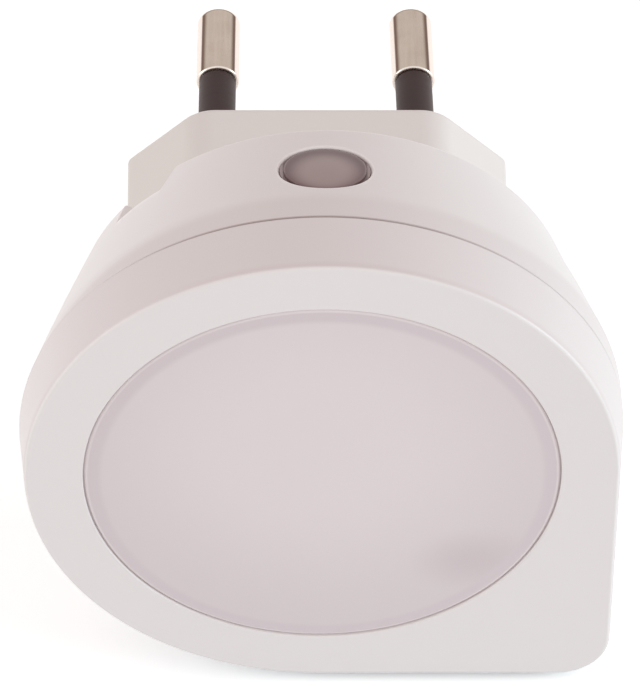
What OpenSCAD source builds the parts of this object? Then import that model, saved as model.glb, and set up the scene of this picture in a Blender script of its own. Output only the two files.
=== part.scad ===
// Plug-in night light with a twilight sensor.
//
// The light is drawn lying on its pins: z = 0 is the plug face that meets the socket, and z grows
// towards the room. into_wall() then stands it up, so that the pins point along +Y, +X is to the
// right of someone facing the lamp and +Z is up.

/* [Pins] */
// Diameter of the bare metal tip of a pin
pin_d = 4; // [3.8:0.05:4.8]
// How far the pins stand out of the plug face
pin_reach = 19; // [17:0.5:21]
// Length of the bare metal tip
tip_l = 9; // [7:0.5:11]
// Rounding of the tip's end
tip_round = 0.6; // [0.3:0.1:1.6]
// Distance between the pins at the plug face
pin_pitch = 18.6; // [18:0.1:19.2]
// Distance between the pins at their tips
tip_pitch = 18; // [17.2:0.1:18.6]
// Diameter of the insulating sleeves
sleeve_d = 3.6; // [3.3:0.05:3.8]
// Diameter of the pin inside its sleeve
core_d = 2.6; // [2.2:0.1:2.8]
// Diameter of the shoulder that stops the pin from being pulled out
shoulder_d = 5.4; // [4.8:0.1:6]
// Thickness of that shoulder
shoulder_t = 1.4; // [1:0.1:2]
// Diameter of the solder tail
tail_d = 2.2; // [1.8:0.1:2.4]
// Length of the solder tail beyond the carrier
tail_l = 2.5; // [1.5:0.5:4]

/* [Plug block] */
// Width of the six-sided block across its side corners
plug_w = 35.3; // [34.6:0.1:36]
// Height of the block
plug_h = 13.7; // [13:0.1:14]
// Length of the block from the plug face to the rim of the housing
plug_l = 19; // [16:0.5:22]
// Thickness of the wall that the pins pass through
plug_face_t = 5; // [4:0.5:7]
// Thickness of the block's side walls
plug_wall = 2; // [1.6:0.1:2.4]
// How far the flange reaches past the block
flange_over = 1; // [0.8:0.1:1.4]
// Thickness of the flange
flange_t = 1.4; // [1.2:0.1:1.6]
// Thickness of the insulating pin carrier
carrier_t = 4; // [3:0.5:6]
// Thickness of the plate that holds the flange down
retainer_t = 1; // [0.8:0.1:1.2]
// Space between the flange and the posts of the plate's screws
retainer_play = 0.75; // [0.6:0.05:0.9]
// Diameter of those posts
retainer_post_d = 4.4; // [4:0.1:4.6]

/* [Housing] */
// Radius of the rear rim
rim_r = 22; // [21.5:0.1:22.5]
// Length of the taper from the rim to the crease
taper_l = 12.9; // [12:0.1:14]
// Radius at the crease
crease_r = 26.3; // [25.8:0.1:26.4]
// Length of the straight band behind the parting line
band_l = 2.6; // [2.2:0.1:3.5]
// How much the band widens from the crease to the parting line
band_draft = 0.3; // [0.1:0.05:0.4]
// Wall thickness of the rear housing
wall = 1.8; // [1.6:0.1:2]
// Thickness of the rear wall
rear_wall = 1.6; // [1.2:0.1:1.6]
// How deep the rear wall lies inside the rim
rear_recess = 0.6; // [0.4:0.1:0.7]
// Radius of the square corner's rounding at the face
corner_round = 4.6; // [4.6:0.1:5.7]
// How far the trimmed corner stands out past the circle of the rim
rim_corner_out = 4; // [2:0.5:6]
// How far it stands out past the circle of the crease
crease_corner_out = 9.7; // [9.2:0.5:11.7]
// Angle of the finger notch, clockwise from the top
notch_angle = -43; // [-48:1:-40]
// Width of the finger notch
notch_w = 5.1; // [4.5:0.1:6]
// Depth of the notch from the rim
notch_l = 3.4; // [2:0.1:4]
// Radius of the notch's rounded shoulder
notch_round = 0.9; // [0.5:0.1:1.2]
// How far the pocket behind the notch reaches in from the circle of the rim
pocket_w = 5.5; // [4.5:0.1:6]
// Depth of that pocket from the rim
pocket_l = 5.6; // [5:0.1:6]
// Thickness of the pocket's walls
pocket_wall = 1.1; // [0.8:0.1:1.2]

/* [Front cover] */
// Gap at the parting line
part_gap = 0.2; // [0.1:0.05:0.3]
// How far the cover stands out past the housing's band
cover_step = 0.15; // [0:0.05:0.4]
// How much the cover narrows from the parting line to its face
cover_draft = 0.55; // [0.15:0.05:0.75]
// Width of the flat ring round the lens
ring_w = 5.15; // [5.05:0.05:6]
// Length of the cover's side band
cover_l = 5.6; // [5:0.1:6.5]
// Wall thickness of the cover's band
cover_wall = 1.4; // [1.2:0.1:1.5]
// Thickness of the cover's face
face_t = 1.8; // [1.4:0.1:2]
// Reach of the snap hooks behind the parting line
hook_l = 2.3; // [2:0.1:2.4]
// Thickness of a snap hook
hook_t = 1; // [0.8:0.1:1.2]
// Width of a snap hook
hook_w = 5; // [4:0.5:7]
// How far the hook's bead stands out
bead = 0.5; // [0.3:0.1:0.6]
// Angles of the snap hooks, clockwise from the top
hook_angles = [75, 195, 315]; // [0:5:360]

/* [Diffuser] */
// Gap round the lens
lens_gap = 0.15; // [0.1:0.05:0.3]
// Thickness of the lens
lens_t = 1.5; // [1:0.1:1.7]
// Height of the lens's crown
lens_crown = 1; // [0.5:0.1:3]
// Radius of the lens's rounded edge
lens_edge = 0.9; // [0.5:0.1:1.2]
// Width of the lip that holds the lens behind the face
lens_lip = 0.8; // [0.6:0.1:0.9]
// Thickness of that lip
lip_t = 1; // [0.8:0.1:1.2]
// How far the edge of the lens lies behind the face
lens_sink = 0.1; // [0:0.05:0.3]
// Width of the reflector's slope
slope_w = 4.1; // [3.4:0.1:4.4]
// Depth of the reflector
tray_l = 2.6; // [2:0.1:2.8]
// Thickness of the reflector
tray_t = 1; // [0.8:0.1:1.2]
// Angles of the reflector's screws, clockwise from the top
ear_angles = [30, 150, 270]; // [0:5:360]

/* [Twilight sensor] */
// Distance of the sensor from the rim, along the housing
sensor_at = 7.2; // [6.8:0.1:7.6]
// Diameter of the hole for the sensor window
sensor_d = 8.2; // [7.4:0.1:8.4]
// Gap round the window
sensor_gap = 0.5; // [0.2:0.05:0.6]
// Radius of the window's dome
sensor_dome_r = 14; // [10:1:30]
// How far the crown of the dome stands out of the housing
sensor_proud = 0.15; // [0:0.05:0.3]
// Diameter of the light-dependent resistor
ldr_d = 5.1; // [4:0.1:5.4]
// Thickness of the light-dependent resistor
ldr_t = 2; // [1.6:0.1:2.4]
// Space between the window's flange and the holder's pegs
peg_gap = 0.8; // [0.6:0.1:1]
// Diameter of a peg
peg_d = 1.6; // [1.2:0.1:1.8]

/* [Driver board] */
// How far the board's flat top edge lies inside the circle of the rim
board_cut = 9.8; // [9.6:0.1:10.2]
// Thickness of the board
board_t = 1.2; // [1:0.1:1.4]
// Height of the posts that carry it
post_l = 4.2; // [4:0.1:4.5]
// Diameter of those posts
post_d = 4; // [3.4:0.1:4.2]
// Distance of those posts from the edge of the board
post_in = 2.2; // [2.1:0.1:2.4]
// Angles of those posts, clockwise from the top
post_angles = [62, 165, 250]; // [0:1:360]

/* [LED board] */
// How far the LED board lies inside the edge of the reflector's floor
led_board_in = 1.2; // [0.8:0.1:1.8]
// Thickness of the LED board
led_board_t = 1; // [0.8:0.1:1.2]
// Number of LEDs
led_count = 6; // [3:1:8]
// Distance of the LEDs from the middle
led_at = 9.5; // [8:0.5:10]
// Side of an LED
led_side = 5; // [3:0.5:5]
// Height of an LED
led_h = 1.5; // [1.2:0.1:1.8]
// Diameter of the stakes that carry the board
stake_d = 1.8; // [1.4:0.1:2]

/* [Screws] */
// Shank diameter of the small screws
small_shank = 1.6; // [1.4:0.1:1.8]
// Head diameter of the small screws
small_head = 3; // [2.6:0.1:3.2]
// Head height of the small screws
small_head_h = 1; // [0.8:0.1:1.2]
// Shank diameter of the corner screw
corner_shank = 2.2; // [2:0.1:2.4]
// Head diameter of the corner screw
corner_head = 3.8; // [3.4:0.1:4]
// Head height of the corner screw
corner_head_h = 1.6; // [1.4:0.1:2]
// How far the corner screw lies inside the centre of the corner's rounding
corner_screw_in = 1; // [0.8:0.1:1.2]
// Depth of the corner screw's well
well_l = 8; // [6:0.5:9]
// Wall round the hole of a small screw
small_boss_wall = 0.7; // [0.5:0.1:0.7]
// Wall round the hole of the corner screw
corner_boss_wall = 1.3; // [1:0.1:1.4]

/* [Components] */
// Length, width and height of the film capacitor
film_size = [13, 9, 5.4]; // [2:0.2:13]
// Diameter of the smoothing capacitor
smooth_d = 5; // [4:0.1:5.4]
// Length of the smoothing capacitor
smooth_l = 11; // [9:0.5:12]
// Length, width and height of the bridge rectifier
bridge_size = [6.4, 5, 2.6]; // [1:0.2:6.6]
// Diameter of the fusible resistor
fuse_d = 3.2; // [2.6:0.1:3.6]
// Length of the fusible resistor
fuse_l = 8; // [6:0.5:9]
// Diameter of the bleeder resistor
bleed_d = 2.4; // [1.8:0.1:2.6]
// Length of the bleeder resistor
bleed_l = 6.3; // [5:0.1:7]
// Diameter of the surge absorber
surge_d = 6; // [5:0.5:7]
// Thickness of the surge absorber
surge_t = 3; // [2.4:0.1:3.5]
// Diameter of the Zener diode
zener_d = 1.9; // [1.6:0.1:2.2]
// Length of the Zener diode
zener_l = 3.8; // [3:0.1:4.4]
// Radius of the transistor's round side
transistor_r = 2.3; // [2:0.1:2.5]
// Height of the transistor's body
transistor_h = 4; // [3.5:0.1:4.6]
// Diameter of the insulated leads
lead_d = 1.8; // [1.4:0.1:2]
// How far the legs of a lying component reach past its ends
axial_leg_out = 1.5; // [1:0.1:2]
// Length, width and height of a chip resistor
chip_size = [2, 1.2, 0.5]; // [0.3:0.1:2]
// Length, width and height of the link header's base
header_size = [2.5, 5, 2.5]; // [1:0.1:5]
// Distance between the link header's pins
header_pitch = 2.54; // [2:0.02:3]
// Side of a header pin
header_pin = 0.64; // [0.4:0.02:0.8]

/* [Hidden] */
$fn = 96;

fine = 0.05;         // clearance between pieces that seat on each other
slip = 0.1;          // clearance of a hole round what passes through it
cut = 1;             // how far a cutter runs past the face it cuts
wire_d = 0.6;        // component legs
stand = 0.3;         // height of axial components above the board
screw_stop = 0.6;    // space left past the tip of a screw
lead_board_x = 6.5;  // where the leads reach the driver board
window_margin = 0.7; // how far the window's flange reaches under the housing
tray_edge = 0.7;     // height of the reflector's rim
ear_drop = 1.8;      // depth of the reflector's ears below its rim
ear_t = 1.2;         // thickness of those ears
retainer_side = 0.8; // space between the plug's retainer and the notch pocket

// Places of the components on the driver board, across and up from its middle
film_at = [5.5, 4.5];
smooth_at = [5.5, -6.5];
bridge_at = [-7, -8];
fuse_at = [-13, 1.5];
bleed_at = [-4.5, -13];
surge_at = [-6.5, 0];
transistor_at = [-5, 8.5];
zener_at = [9.5, -12.5];
chips_at = [[14.5, 3], [14.5, 0.5], [-1, -9.5]];
header_at = [13.6, -4];

tip_lean = asin((pin_pitch - tip_pitch) / 2 / pin_reach);
shoulder_z = plug_face_t + 2 * fine;
carrier_z = shoulder_z + shoulder_t + 2 * fine;
tail_end = carrier_z + carrier_t + tail_l;
retainer_screw_r = plug_h / 2 + flange_over + retainer_play + retainer_post_d / 2;
retainer_half_h = retainer_screw_r + retainer_post_d / 2 + 2 * slip;
inner_half_w = plug_w / 2 - plug_wall * sqrt(2);
inner_half_h = plug_h / 2 - plug_wall;

band_r = crease_r + band_draft;
cover_r = band_r + cover_step;
face_r = cover_r - cover_draft;
lens_hole_r = face_r - ring_w;
lens_r = lens_hole_r - lens_gap;
lip_r = lens_r + lens_lip;
floor_r = lens_r - slope_w;
corner_at = face_r - corner_round;
corner_screw_at = corner_at - corner_screw_in;
rim_corner_r = rim_r + rim_corner_out;
crease_corner_r = crease_r + crease_corner_out;
pocket_in = rim_r - pocket_w;
retainer_r = pocket_in - pocket_wall - retainer_side;
board_r = rim_r - wall;
board_top = rim_r - board_cut;
post_at = board_r - post_in;
led_board_r = floor_r - led_board_in;
stake_at = led_board_r - stake_d;
peg_at = sensor_d / 2 + window_margin + peg_gap + peg_d / 2;
ear_at = lip_r + fine + small_boss_wall + small_shank / 2;

rim_z = plug_l;
rear_face_z = rim_z + rear_recess;
rear_in_z = rear_face_z + rear_wall;
crease_z = rim_z + taper_l;
part_z = crease_z + band_l;
cover_z = part_z + part_gap;
front_z = cover_z + cover_l;
face_in_z = front_z - face_t;

flange_z = rear_in_z + fine;
retainer_z = flange_z + flange_t + fine;
retainer_post_l = retainer_z - fine - rear_in_z;
board_z = rear_in_z + post_l + fine;
board_front = board_z + board_t;

lip_z = face_in_z - fine - lip_t;
lens_top = front_z - lens_sink;
tray_rim_z = lip_z - fine;
tray_floor_z = tray_rim_z - tray_l;
led_board_z = tray_floor_z - tray_t - fine - led_board_t;
led_board_front = led_board_z + led_board_t;
ear_z = tray_rim_z - ear_drop;
ear_r = small_shank / 2 + small_boss_wall + slip;
ear_boss_z = ear_z + ear_t + fine;

taper_angle = atan((crease_r - rim_r) / taper_l);
wall_across = wall * cos(taper_angle);
window_r = sensor_d / 2 - sensor_gap;
window_sag = 0.6;        // how far the curved wall dips at the ends of the window's flange
window_flange_t = 0.9;
flange_top = -wall_across - window_sag;
flange_low = flange_top - window_flange_t;
holder_top = flange_low - fine;
holder_t = 1.2;
holder_tube_l = 3.4;
ldr_top = holder_top - holder_t - window_flange_t;
ldr_leg_end = 14;        // depth at which the legs turn towards the board

well_z = rim_z + well_l;
well_r = corner_head / 2 + 3 * slip;

// Stands the light up in front of its socket
module into_wall() {
    rotate([90, 0, 0]) children();
}

// Turns clockwise from the top, then moves out from the middle
module around(angle, distance) {
    rotate([0, 0, -angle]) translate([0, distance, 0]) children();
}

module ring(outer_r, inner_r, height) {
    difference() {
        cylinder(h = height, r = outer_r);
        translate([0, 0, -cut]) cylinder(h = height + 2 * cut, r = inner_r);
    }
}

// Six-sided outline with sides at 45 degrees
module six_sided(half_w, half_h) {
    flat = half_w - half_h;
    polygon([[-half_w, 0], [-flat, half_h], [flat, half_h],
        [half_w, 0], [flat, -half_h], [-flat, -half_h]]);
}

// Round body whose lower right quarter is square, with draft from r_low to r_high. The rounding of
// the corner is centred at centre, across and down.
module square_cornered(r_low, r_high, height, centre) {
    reach = max(r_low, r_high) + cut;
    profile = [[0, 0], [r_low, 0], [r_high, height], [0, height]];
    cylinder(h = height, r1 = r_low, r2 = r_high);
    difference() {
        intersection() {
            rotate([90, 0, 0]) linear_extrude(reach) polygon(profile);
            rotate([90, 0, -90]) translate([0, 0, -reach]) linear_extrude(reach) polygon(profile);
        }
        translate([centre, -reach, -cut])
            cube([reach - centre, reach - centre, height + 2 * cut]);
    }
    translate([centre, -centre, 0])
        cylinder(h = height, r1 = r_low - centre, r2 = r_high - centre);
}

// Outer form of the rear housing, or with an inset the space inside its walls
module rear_form(inset) {
    centre = corner_at - inset;
    translate([0, 0, rim_z]) intersection() {
        square_cornered(rim_r - inset, crease_r - inset, taper_l, centre);
        cylinder(h = taper_l, r1 = rim_corner_r - inset, r2 = crease_corner_r - inset);
    }
    translate([0, 0, crease_z])
        square_cornered(crease_r - inset, band_r - inset, band_l, centre);
}

// Frame of the finger notch: x points out through it
module at_notch() {
    rotate([0, 0, 90 - notch_angle]) children();
}

// Rounded at the shoulder towards the top, and square at the other
module notch_profile() {
    half = notch_w / 2;
    difference() {
        translate([-half - notch_round, -cut])
            square([notch_w + notch_round, cut + notch_l]);
        translate([-half - notch_round, notch_round]) circle(r = notch_round);
        translate([-half - notch_round - cut, notch_round]) square([notch_round + cut, notch_l]);
        difference() {
            translate([-half - cut, notch_l - notch_round]) square(notch_round + cut);
            translate([notch_round - half, notch_l - notch_round]) circle(r = notch_round);
        }
    }
}

module pocket_box(grow) {
    at_notch() translate([pocket_in - grow, -notch_w / 2 - grow, rim_z - cut])
        cube([rim_r, notch_w + 2 * grow, pocket_l + grow + cut]);
}

// Frame on the taper at the top: z points out of the surface, x stays across
module on_taper() {
    translate([0, rim_r + sensor_at * tan(taper_angle), rim_z + sensor_at])
        rotate([-90 - taper_angle, 0, 0]) children();
}

module round_slot(w, h) {
    travel = (w - h) / 2;
    for (side = [-1, 1]) translate([side * travel, 0]) circle(r = h / 2);
    square([2 * travel, h], center = true);
}

// Pan-head screw with a cross recess, its seat at z = 0 and its shank along +z
module screw(shank_d, head_d, head_h, length) {
    slot_w = head_d / 5;
    difference() {
        translate([0, 0, -head_h]) cylinder(h = head_h, r = head_d / 2);
        for (turn = [0, 90]) rotate([0, 0, turn])
            translate([-head_d * 0.32, -slot_w / 2, -head_h - cut])
                cube([head_d * 0.64, slot_w, cut + head_h / 2]);
    }
    cylinder(h = length, r = shank_d / 2);
}

// Frame of a pin: z = 0 at the plug face, the tip along -z
module at_pin(side) {
    translate([side * pin_pitch / 2, 0, 0]) rotate([0, side * tip_lean, 0]) children();
}

module pin(side) {
    color([0.72, 0.66, 0.6]) into_wall() at_pin(side) {
        translate([0, 0, -pin_reach]) rotate_extrude() {
            translate([0, tip_round]) square([pin_d / 2, tip_l - tip_round]);
            square([pin_d / 2 - tip_round, tip_l]);
            intersection() {
                translate([pin_d / 2 - tip_round, tip_round]) circle(r = tip_round);
                square([pin_d, tip_l]);
            }
        }
        translate([0, 0, -pin_reach + tip_l / 2])
            cylinder(h = pin_reach - tip_l / 2 + carrier_z + carrier_t, r = core_d / 2);
        translate([0, 0, plug_face_t]) cylinder(h = tail_end - plug_face_t, r = tail_d / 2);
        translate([0, 0, shoulder_z]) cylinder(h = shoulder_t, r = shoulder_d / 2);
    }
}

module sleeve(side) {
    color([0.3, 0.24, 0.23]) into_wall() at_pin(side)
        translate([0, 0, -pin_reach + tip_l + fine])
            ring(sleeve_d / 2, core_d / 2 + fine, pin_reach - tip_l + plug_face_t - 2 * fine);
}
module pin_left() { pin(-1); }
module pin_right() { pin(1); }
module sleeve_left() { sleeve(-1); }
module sleeve_right() { sleeve(1); }

module plug_block() {
    half_w = plug_w / 2;
    half_h = plug_h / 2;
    color([0.83, 0.8, 0.78]) into_wall() difference() {
        union() {
            linear_extrude(flange_z + flange_t) six_sided(half_w, half_h);
            translate([0, 0, flange_z]) linear_extrude(flange_t)
                six_sided(half_w + flange_over * sqrt(2), half_h + flange_over);
        }
        translate([0, 0, plug_face_t]) linear_extrude(plug_l + flange_z)
            six_sided(inner_half_w, inner_half_h);
        for (side = [-1, 1]) at_pin(side)
            translate([0, 0, -cut]) cylinder(h = plug_face_t + 2 * cut, r = sleeve_d / 2 + fine);
    }
}

module pin_carrier() {
    color([0.35, 0.35, 0.37]) into_wall() difference() {
        translate([0, 0, carrier_z]) linear_extrude(carrier_t - fine)
            six_sided(inner_half_w - slip * sqrt(2), inner_half_h - slip);
        for (side = [-1, 1]) at_pin(side)
            cylinder(h = carrier_z + carrier_t + cut, r = core_d / 2 + slip);
    }
}

module plug_retainer() {
    opening_half_w = inner_half_w - 2 * plug_wall;
    color([0.86, 0.84, 0.8]) into_wall() difference() {
        intersection() {
            translate([0, 0, retainer_z]) cylinder(h = retainer_t, r = retainer_r);
            translate([-retainer_r, -retainer_half_h, retainer_z])
                cube([2 * retainer_r, 2 * retainer_half_h, retainer_t]);
        }
        translate([0, 0, retainer_z - cut]) linear_extrude(retainer_t + 2 * cut)
            six_sided(opening_half_w, inner_half_h);
        for (side = [-1, 1]) translate([0, side * retainer_screw_r, retainer_z - cut])
            cylinder(h = retainer_t + 2 * cut, r = small_shank / 2 + slip);
    }
}

module retainer_screws() {
    reach = retainer_t + retainer_post_l;
    color("silver") into_wall() for (side = [-1, 1])
        translate([0, side * retainer_screw_r, retainer_z + retainer_t + fine])
            mirror([0, 0, 1]) screw(small_shank, small_head, small_head_h, reach);
}

// Insulated wire from a pin's tail to the driver board, cut level at both ends
module lead(side) {
    start_x = side * (pin_pitch / 2 + tail_end * tan(tip_lean));
    end_x = side * lead_board_x;
    lean = atan((end_x - start_x) / (board_z - tail_end));
    into_wall() intersection() {
        translate([start_x, 0, tail_end]) rotate([0, lean, 0]) translate([0, 0, -cut])
            cylinder(h = board_z - tail_end + 3 * cut, r = lead_d / 2);
        translate([-plug_w / 2, -lead_d, tail_end + slip])
            cube([plug_w, 2 * lead_d, board_z - fine - tail_end - slip]);
    }
}

module live_lead() { color([0.45, 0.25, 0.15]) lead(-1); }
module neutral_lead() { color([0.2, 0.35, 0.7]) lead(1); }

module post(height, outer_d, hole_d) {
    difference() {
        cylinder(h = height, r = outer_d / 2);
        translate([0, 0, fine]) cylinder(h = height + cut, r = hole_d / 2);
    }
}

module rear_housing() {
    groove_z = part_z - hook_l - fine;
    groove_h = 2 * bead;
    color([0.9, 0.87, 0.86]) into_wall() {
        difference() {
            union() {
                difference() {
                    rear_form(0);
                    intersection() {
                        rear_form(wall);
                        translate([0, 0, rear_in_z]) cylinder(h = part_z, r = crease_corner_r);
                    }
                    intersection() {
                        rear_form(wall);
                        translate([0, 0, rim_z - cut])
                            cylinder(h = rear_recess + cut, r = crease_corner_r);
                    }
                }
                intersection() {
                    rear_form(wall / 2);
                    pocket_box(pocket_wall);
                    translate([0, 0, rear_face_z]) cylinder(h = taper_l, r = crease_corner_r);
                }
                translate([corner_screw_at, -corner_screw_at, 0]) intersection() {
                    translate([-corner_screw_at, corner_screw_at, 0]) rear_form(wall / 2);
                    cylinder(h = part_z - fine, r = well_r + wall - cover_wall / 2);
                }
                intersection() {
                    rear_form(wall / 2);
                    on_taper() for (side = [-1, 1]) translate([side * peg_at, 0, holder_top - holder_t])
                        cylinder(h = -holder_top + holder_t, r = peg_d / 2);
                }
            }
            intersection() {
                rear_form(wall);
                pocket_box(0);
            }
            at_notch() translate([pocket_in, 0, rim_z]) rotate([90, 0, 90])
                linear_extrude(rim_r) notch_profile();
            translate([0, 0, rim_z - cut]) linear_extrude(plug_wall + rear_wall + 2 * cut)
                six_sided(plug_w / 2 + slip * sqrt(2), plug_h / 2 + slip);
            on_taper() translate([0, 0, -wall_across - cut])
                cylinder(h = wall_across + 3 * cut, r = sensor_d / 2);
            translate([0, 0, groove_z]) ring(band_r - wall + bead + slip, crease_r / 2, groove_h);
            translate([corner_screw_at, -corner_screw_at, 0]) {
                cylinder(h = well_z, r = well_r);
                cylinder(h = part_z + cut, r = corner_shank / 2 + slip);
            }
        }
        for (side = [-1, 1]) translate([0, side * retainer_screw_r, rear_in_z - fine])
            post(retainer_post_l + fine, retainer_post_d, small_shank + 2 * fine);
        for (angle = post_angles) around(angle, post_at) translate([0, 0, rear_in_z - fine])
            post(post_l + fine, post_d, small_shank + 2 * fine);
    }
}

module front_cover() {
    hook_out = crease_r - wall - slip;
    hook_z = part_z - hook_l;
    root_l = 2;
    color([0.9, 0.88, 0.87]) into_wall() difference() {
        union() {
            difference() {
                translate([0, 0, cover_z]) square_cornered(cover_r, face_r, cover_l, corner_at);
                translate([0, 0, cover_z - cut]) square_cornered(cover_r - cover_wall,
                    face_r - cover_wall, cover_l - face_t + cut, corner_at);
                cylinder(h = front_z + cut, r = lens_hole_r);
            }
            for (angle = ear_angles) around(angle, ear_at) translate([0, 0, ear_boss_z])
                cylinder(h = face_in_z - ear_boss_z + fine, r = small_shank / 2 + small_boss_wall);
            translate([corner_screw_at, -corner_screw_at, cover_z])
                cylinder(h = face_in_z - cover_z + fine, r = corner_shank / 2 + corner_boss_wall);
            for (angle = hook_angles) rotate([0, 0, -angle]) {
                translate([-hook_w / 2, hook_out - hook_t, hook_z])
                    cube([hook_w, hook_t, part_z - hook_z + root_l]);
                translate([-hook_w / 2, hook_out - hook_t, cover_z])
                    cube([hook_w, cover_r - cover_wall / 2 - hook_out + hook_t, root_l]);
                intersection() {
                    translate([0, 0, hook_z]) ring(band_r - wall + bead, hook_out - hook_t, bead);
                    translate([-hook_w / 2, 0, hook_z - cut]) cube([hook_w, cover_r, 2 * cut]);
                }
            }
        }
        for (angle = ear_angles) around(angle, ear_at) translate([0, 0, ear_boss_z - cut])
            cylinder(h = face_in_z - ear_boss_z + cut, r = small_shank / 2 + fine);
        translate([corner_screw_at, -corner_screw_at, cover_z - cut])
            cylinder(h = face_in_z - cover_z + cut, r = corner_shank / 2 + fine);
    }
}

module diffuser_lens() {
    steps = 8;
    dome_r = lens_r - lens_edge;
    edge_z = lens_top - lens_edge;
    color([0.94, 0.92, 0.93]) into_wall() rotate_extrude() polygon(concat(
        [[0, lens_top + lens_crown - lens_t]],
        [[0, lens_top + lens_crown]],
        [for (i = [1:steps]) [dome_r * i / steps, lens_top + lens_crown * (1 - pow(i / steps, 2))]],
        [for (i = [1:steps]) [dome_r + lens_edge * sin(90 * i / steps),
            edge_z + lens_edge * cos(90 * i / steps)]],
        [[lens_r, lip_z + lip_t], [lip_r, lip_z + lip_t], [lip_r, lip_z], [lens_r - lens_t, lip_z]],
        [for (i = [steps:-1:1]) [(lens_r - lens_t) * i / steps,
            lens_top - lens_t + lens_crown * (1 - pow(i / steps, 2))]]));
}

module reflector_tray() {
    edge_r = lip_r - 2 * slip;
    cone_r = edge_r - 2 * tray_edge;
    ear_root = cone_r - tray_edge;
    cone_low = tray_floor_z - tray_t;
    stake_over = 0.5;
    led_hole = led_side + 6 * slip;
    color("white") into_wall() difference() {
        union() {
            rotate_extrude() polygon([[0, cone_low], [floor_r + tray_t, cone_low],
                [edge_r, tray_rim_z - tray_edge], [edge_r, tray_rim_z], [cone_r, tray_rim_z],
                [floor_r, tray_floor_z], [0, tray_floor_z]]);
            for (angle = ear_angles) rotate([0, 0, -angle]) difference() {
                union() {
                    translate([0, ear_at, ear_z]) cylinder(h = ear_t, r = ear_r);
                    translate([-ear_r, ear_root, ear_z])
                        cube([2 * ear_r, ear_at - ear_root, ear_t]);
                }
                translate([0, ear_at, ear_z - cut])
                    cylinder(h = ear_t + 2 * cut, r = small_shank / 2 + slip);
            }
            for (i = [0:2]) around(60 + 120 * i, stake_at)
                translate([0, 0, led_board_z - stake_over])
                    cylinder(h = cone_low - led_board_z + stake_over + fine, r = stake_d / 2);
        }
        for (i = [0:led_count - 1]) around(360 * i / led_count, led_at)
            translate([0, 0, cone_low]) cube([led_hole, led_hole, 4 * tray_t], center = true);
    }
}

module tray_screws() {
    reach = face_in_z - ear_z - screw_stop;
    color("silver") into_wall() for (angle = ear_angles) around(angle, ear_at)
        translate([0, 0, ear_z - fine]) screw(small_shank, small_head, small_head_h, reach);
}

module corner_screw() {
    color("silver") into_wall() translate([corner_screw_at, -corner_screw_at, well_z - fine])
        screw(corner_shank, corner_head, corner_head_h, face_in_z - well_z - screw_stop);
}

module driver_board() {
    color([0.2, 0.45, 0.25]) into_wall() difference() {
        translate([0, 0, board_z]) cylinder(h = board_t, r = board_r);
        translate([-board_r, board_top, board_z - cut]) cube([2 * board_r, board_r, board_t + 2 * cut]);
        pocket_box(pocket_wall + 3 * slip);
        for (angle = post_angles) around(angle, post_at)
            cylinder(h = board_front + cut, r = small_shank / 2 + slip);
    }
}

module board_screws() {
    reach = board_t + post_l - screw_stop;
    color("silver") into_wall() for (angle = post_angles) around(angle, post_at)
        translate([0, 0, board_front + fine]) mirror([0, 0, 1])
            screw(small_shank, small_head, small_head_h, reach);
}

// Two legs from the board's surface up to a component
module legs(pitch, height) {
    for (side = [-1, 1]) translate([side * pitch / 2, 0, 0])
        cylinder(h = height, r = wire_d / 2, $fn = 16);
}

module on_board(place, turn = 0) {
    into_wall() translate([place[0], place[1], board_front + fine]) rotate([0, 0, turn]) children();
}

// Component lying along x, with a leg at each end bent down to the board
module axial_part(body_d, body_l) {
    axis_z = stand + body_d / 2;
    pitch = body_l + 2 * axial_leg_out;
    translate([-body_l / 2, 0, axis_z]) rotate([0, 90, 0]) cylinder(h = body_l, r = body_d / 2);
    translate([-pitch / 2, 0, axis_z]) rotate([0, 90, 0]) cylinder(h = pitch, r = wire_d / 2, $fn = 16);
    legs(pitch, axis_z);
}

module film_capacitor() {
    color([0.85, 0.65, 0.15]) on_board(film_at)
        translate([-film_size[0] / 2, -film_size[1] / 2, 0]) cube(film_size);
}

module smoothing_capacitor() {
    leg_out = 1.2;
    leg_end = -smooth_l / 2 - leg_out;
    color([0.15, 0.2, 0.35]) on_board(smooth_at) {
        translate([-smooth_l / 2, 0, smooth_d / 2]) rotate([0, 90, 0])
            cylinder(h = smooth_l, r = smooth_d / 2);
        for (side = [-1, 1]) translate([leg_end, side, 0]) {
            cylinder(h = smooth_d / 2 + wire_d / 2, r = wire_d / 2, $fn = 16);
            translate([0, 0, smooth_d / 2]) rotate([0, 90, 0])
                cylinder(h = 2 * leg_out, r = wire_d / 2, $fn = 16);
        }
    }
}

module bridge_rectifier() {
    color([0.12, 0.12, 0.13]) on_board(bridge_at)
        translate([-bridge_size[0] / 2, -bridge_size[1] / 2, 0]) cube(bridge_size);
}

module fusible_resistor() {
    color([0.35, 0.6, 0.45]) on_board(fuse_at, 90) axial_part(fuse_d, fuse_l);
}

module bleeder_resistor() {
    color([0.85, 0.75, 0.55]) on_board(bleed_at) axial_part(bleed_d, bleed_l);
}

module surge_absorber() {
    color([0.2, 0.4, 0.75]) on_board(surge_at) {
        translate([0, 0, stand]) cylinder(h = surge_t, r = surge_d / 2);
        legs(surge_d - 1, stand + 0.2);
    }
}

module switch_transistor() {
    flat_at = 1.3;
    leg_pitch = 1.27;
    color([0.14, 0.14, 0.15]) on_board(transistor_at) {
        translate([0, 0, stand]) intersection() {
            cylinder(h = transistor_h, r = transistor_r);
            translate([-transistor_r, -flat_at, 0])
                cube([2 * transistor_r, flat_at + transistor_r, transistor_h]);
        }
        legs(2 * leg_pitch, 2 * stand);
        cylinder(h = 2 * stand, r = wire_d / 2, $fn = 16);
    }
}

module zener_diode() {
    color([0.8, 0.4, 0.25]) on_board(zener_at) axial_part(zener_d, zener_l);
}

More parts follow.
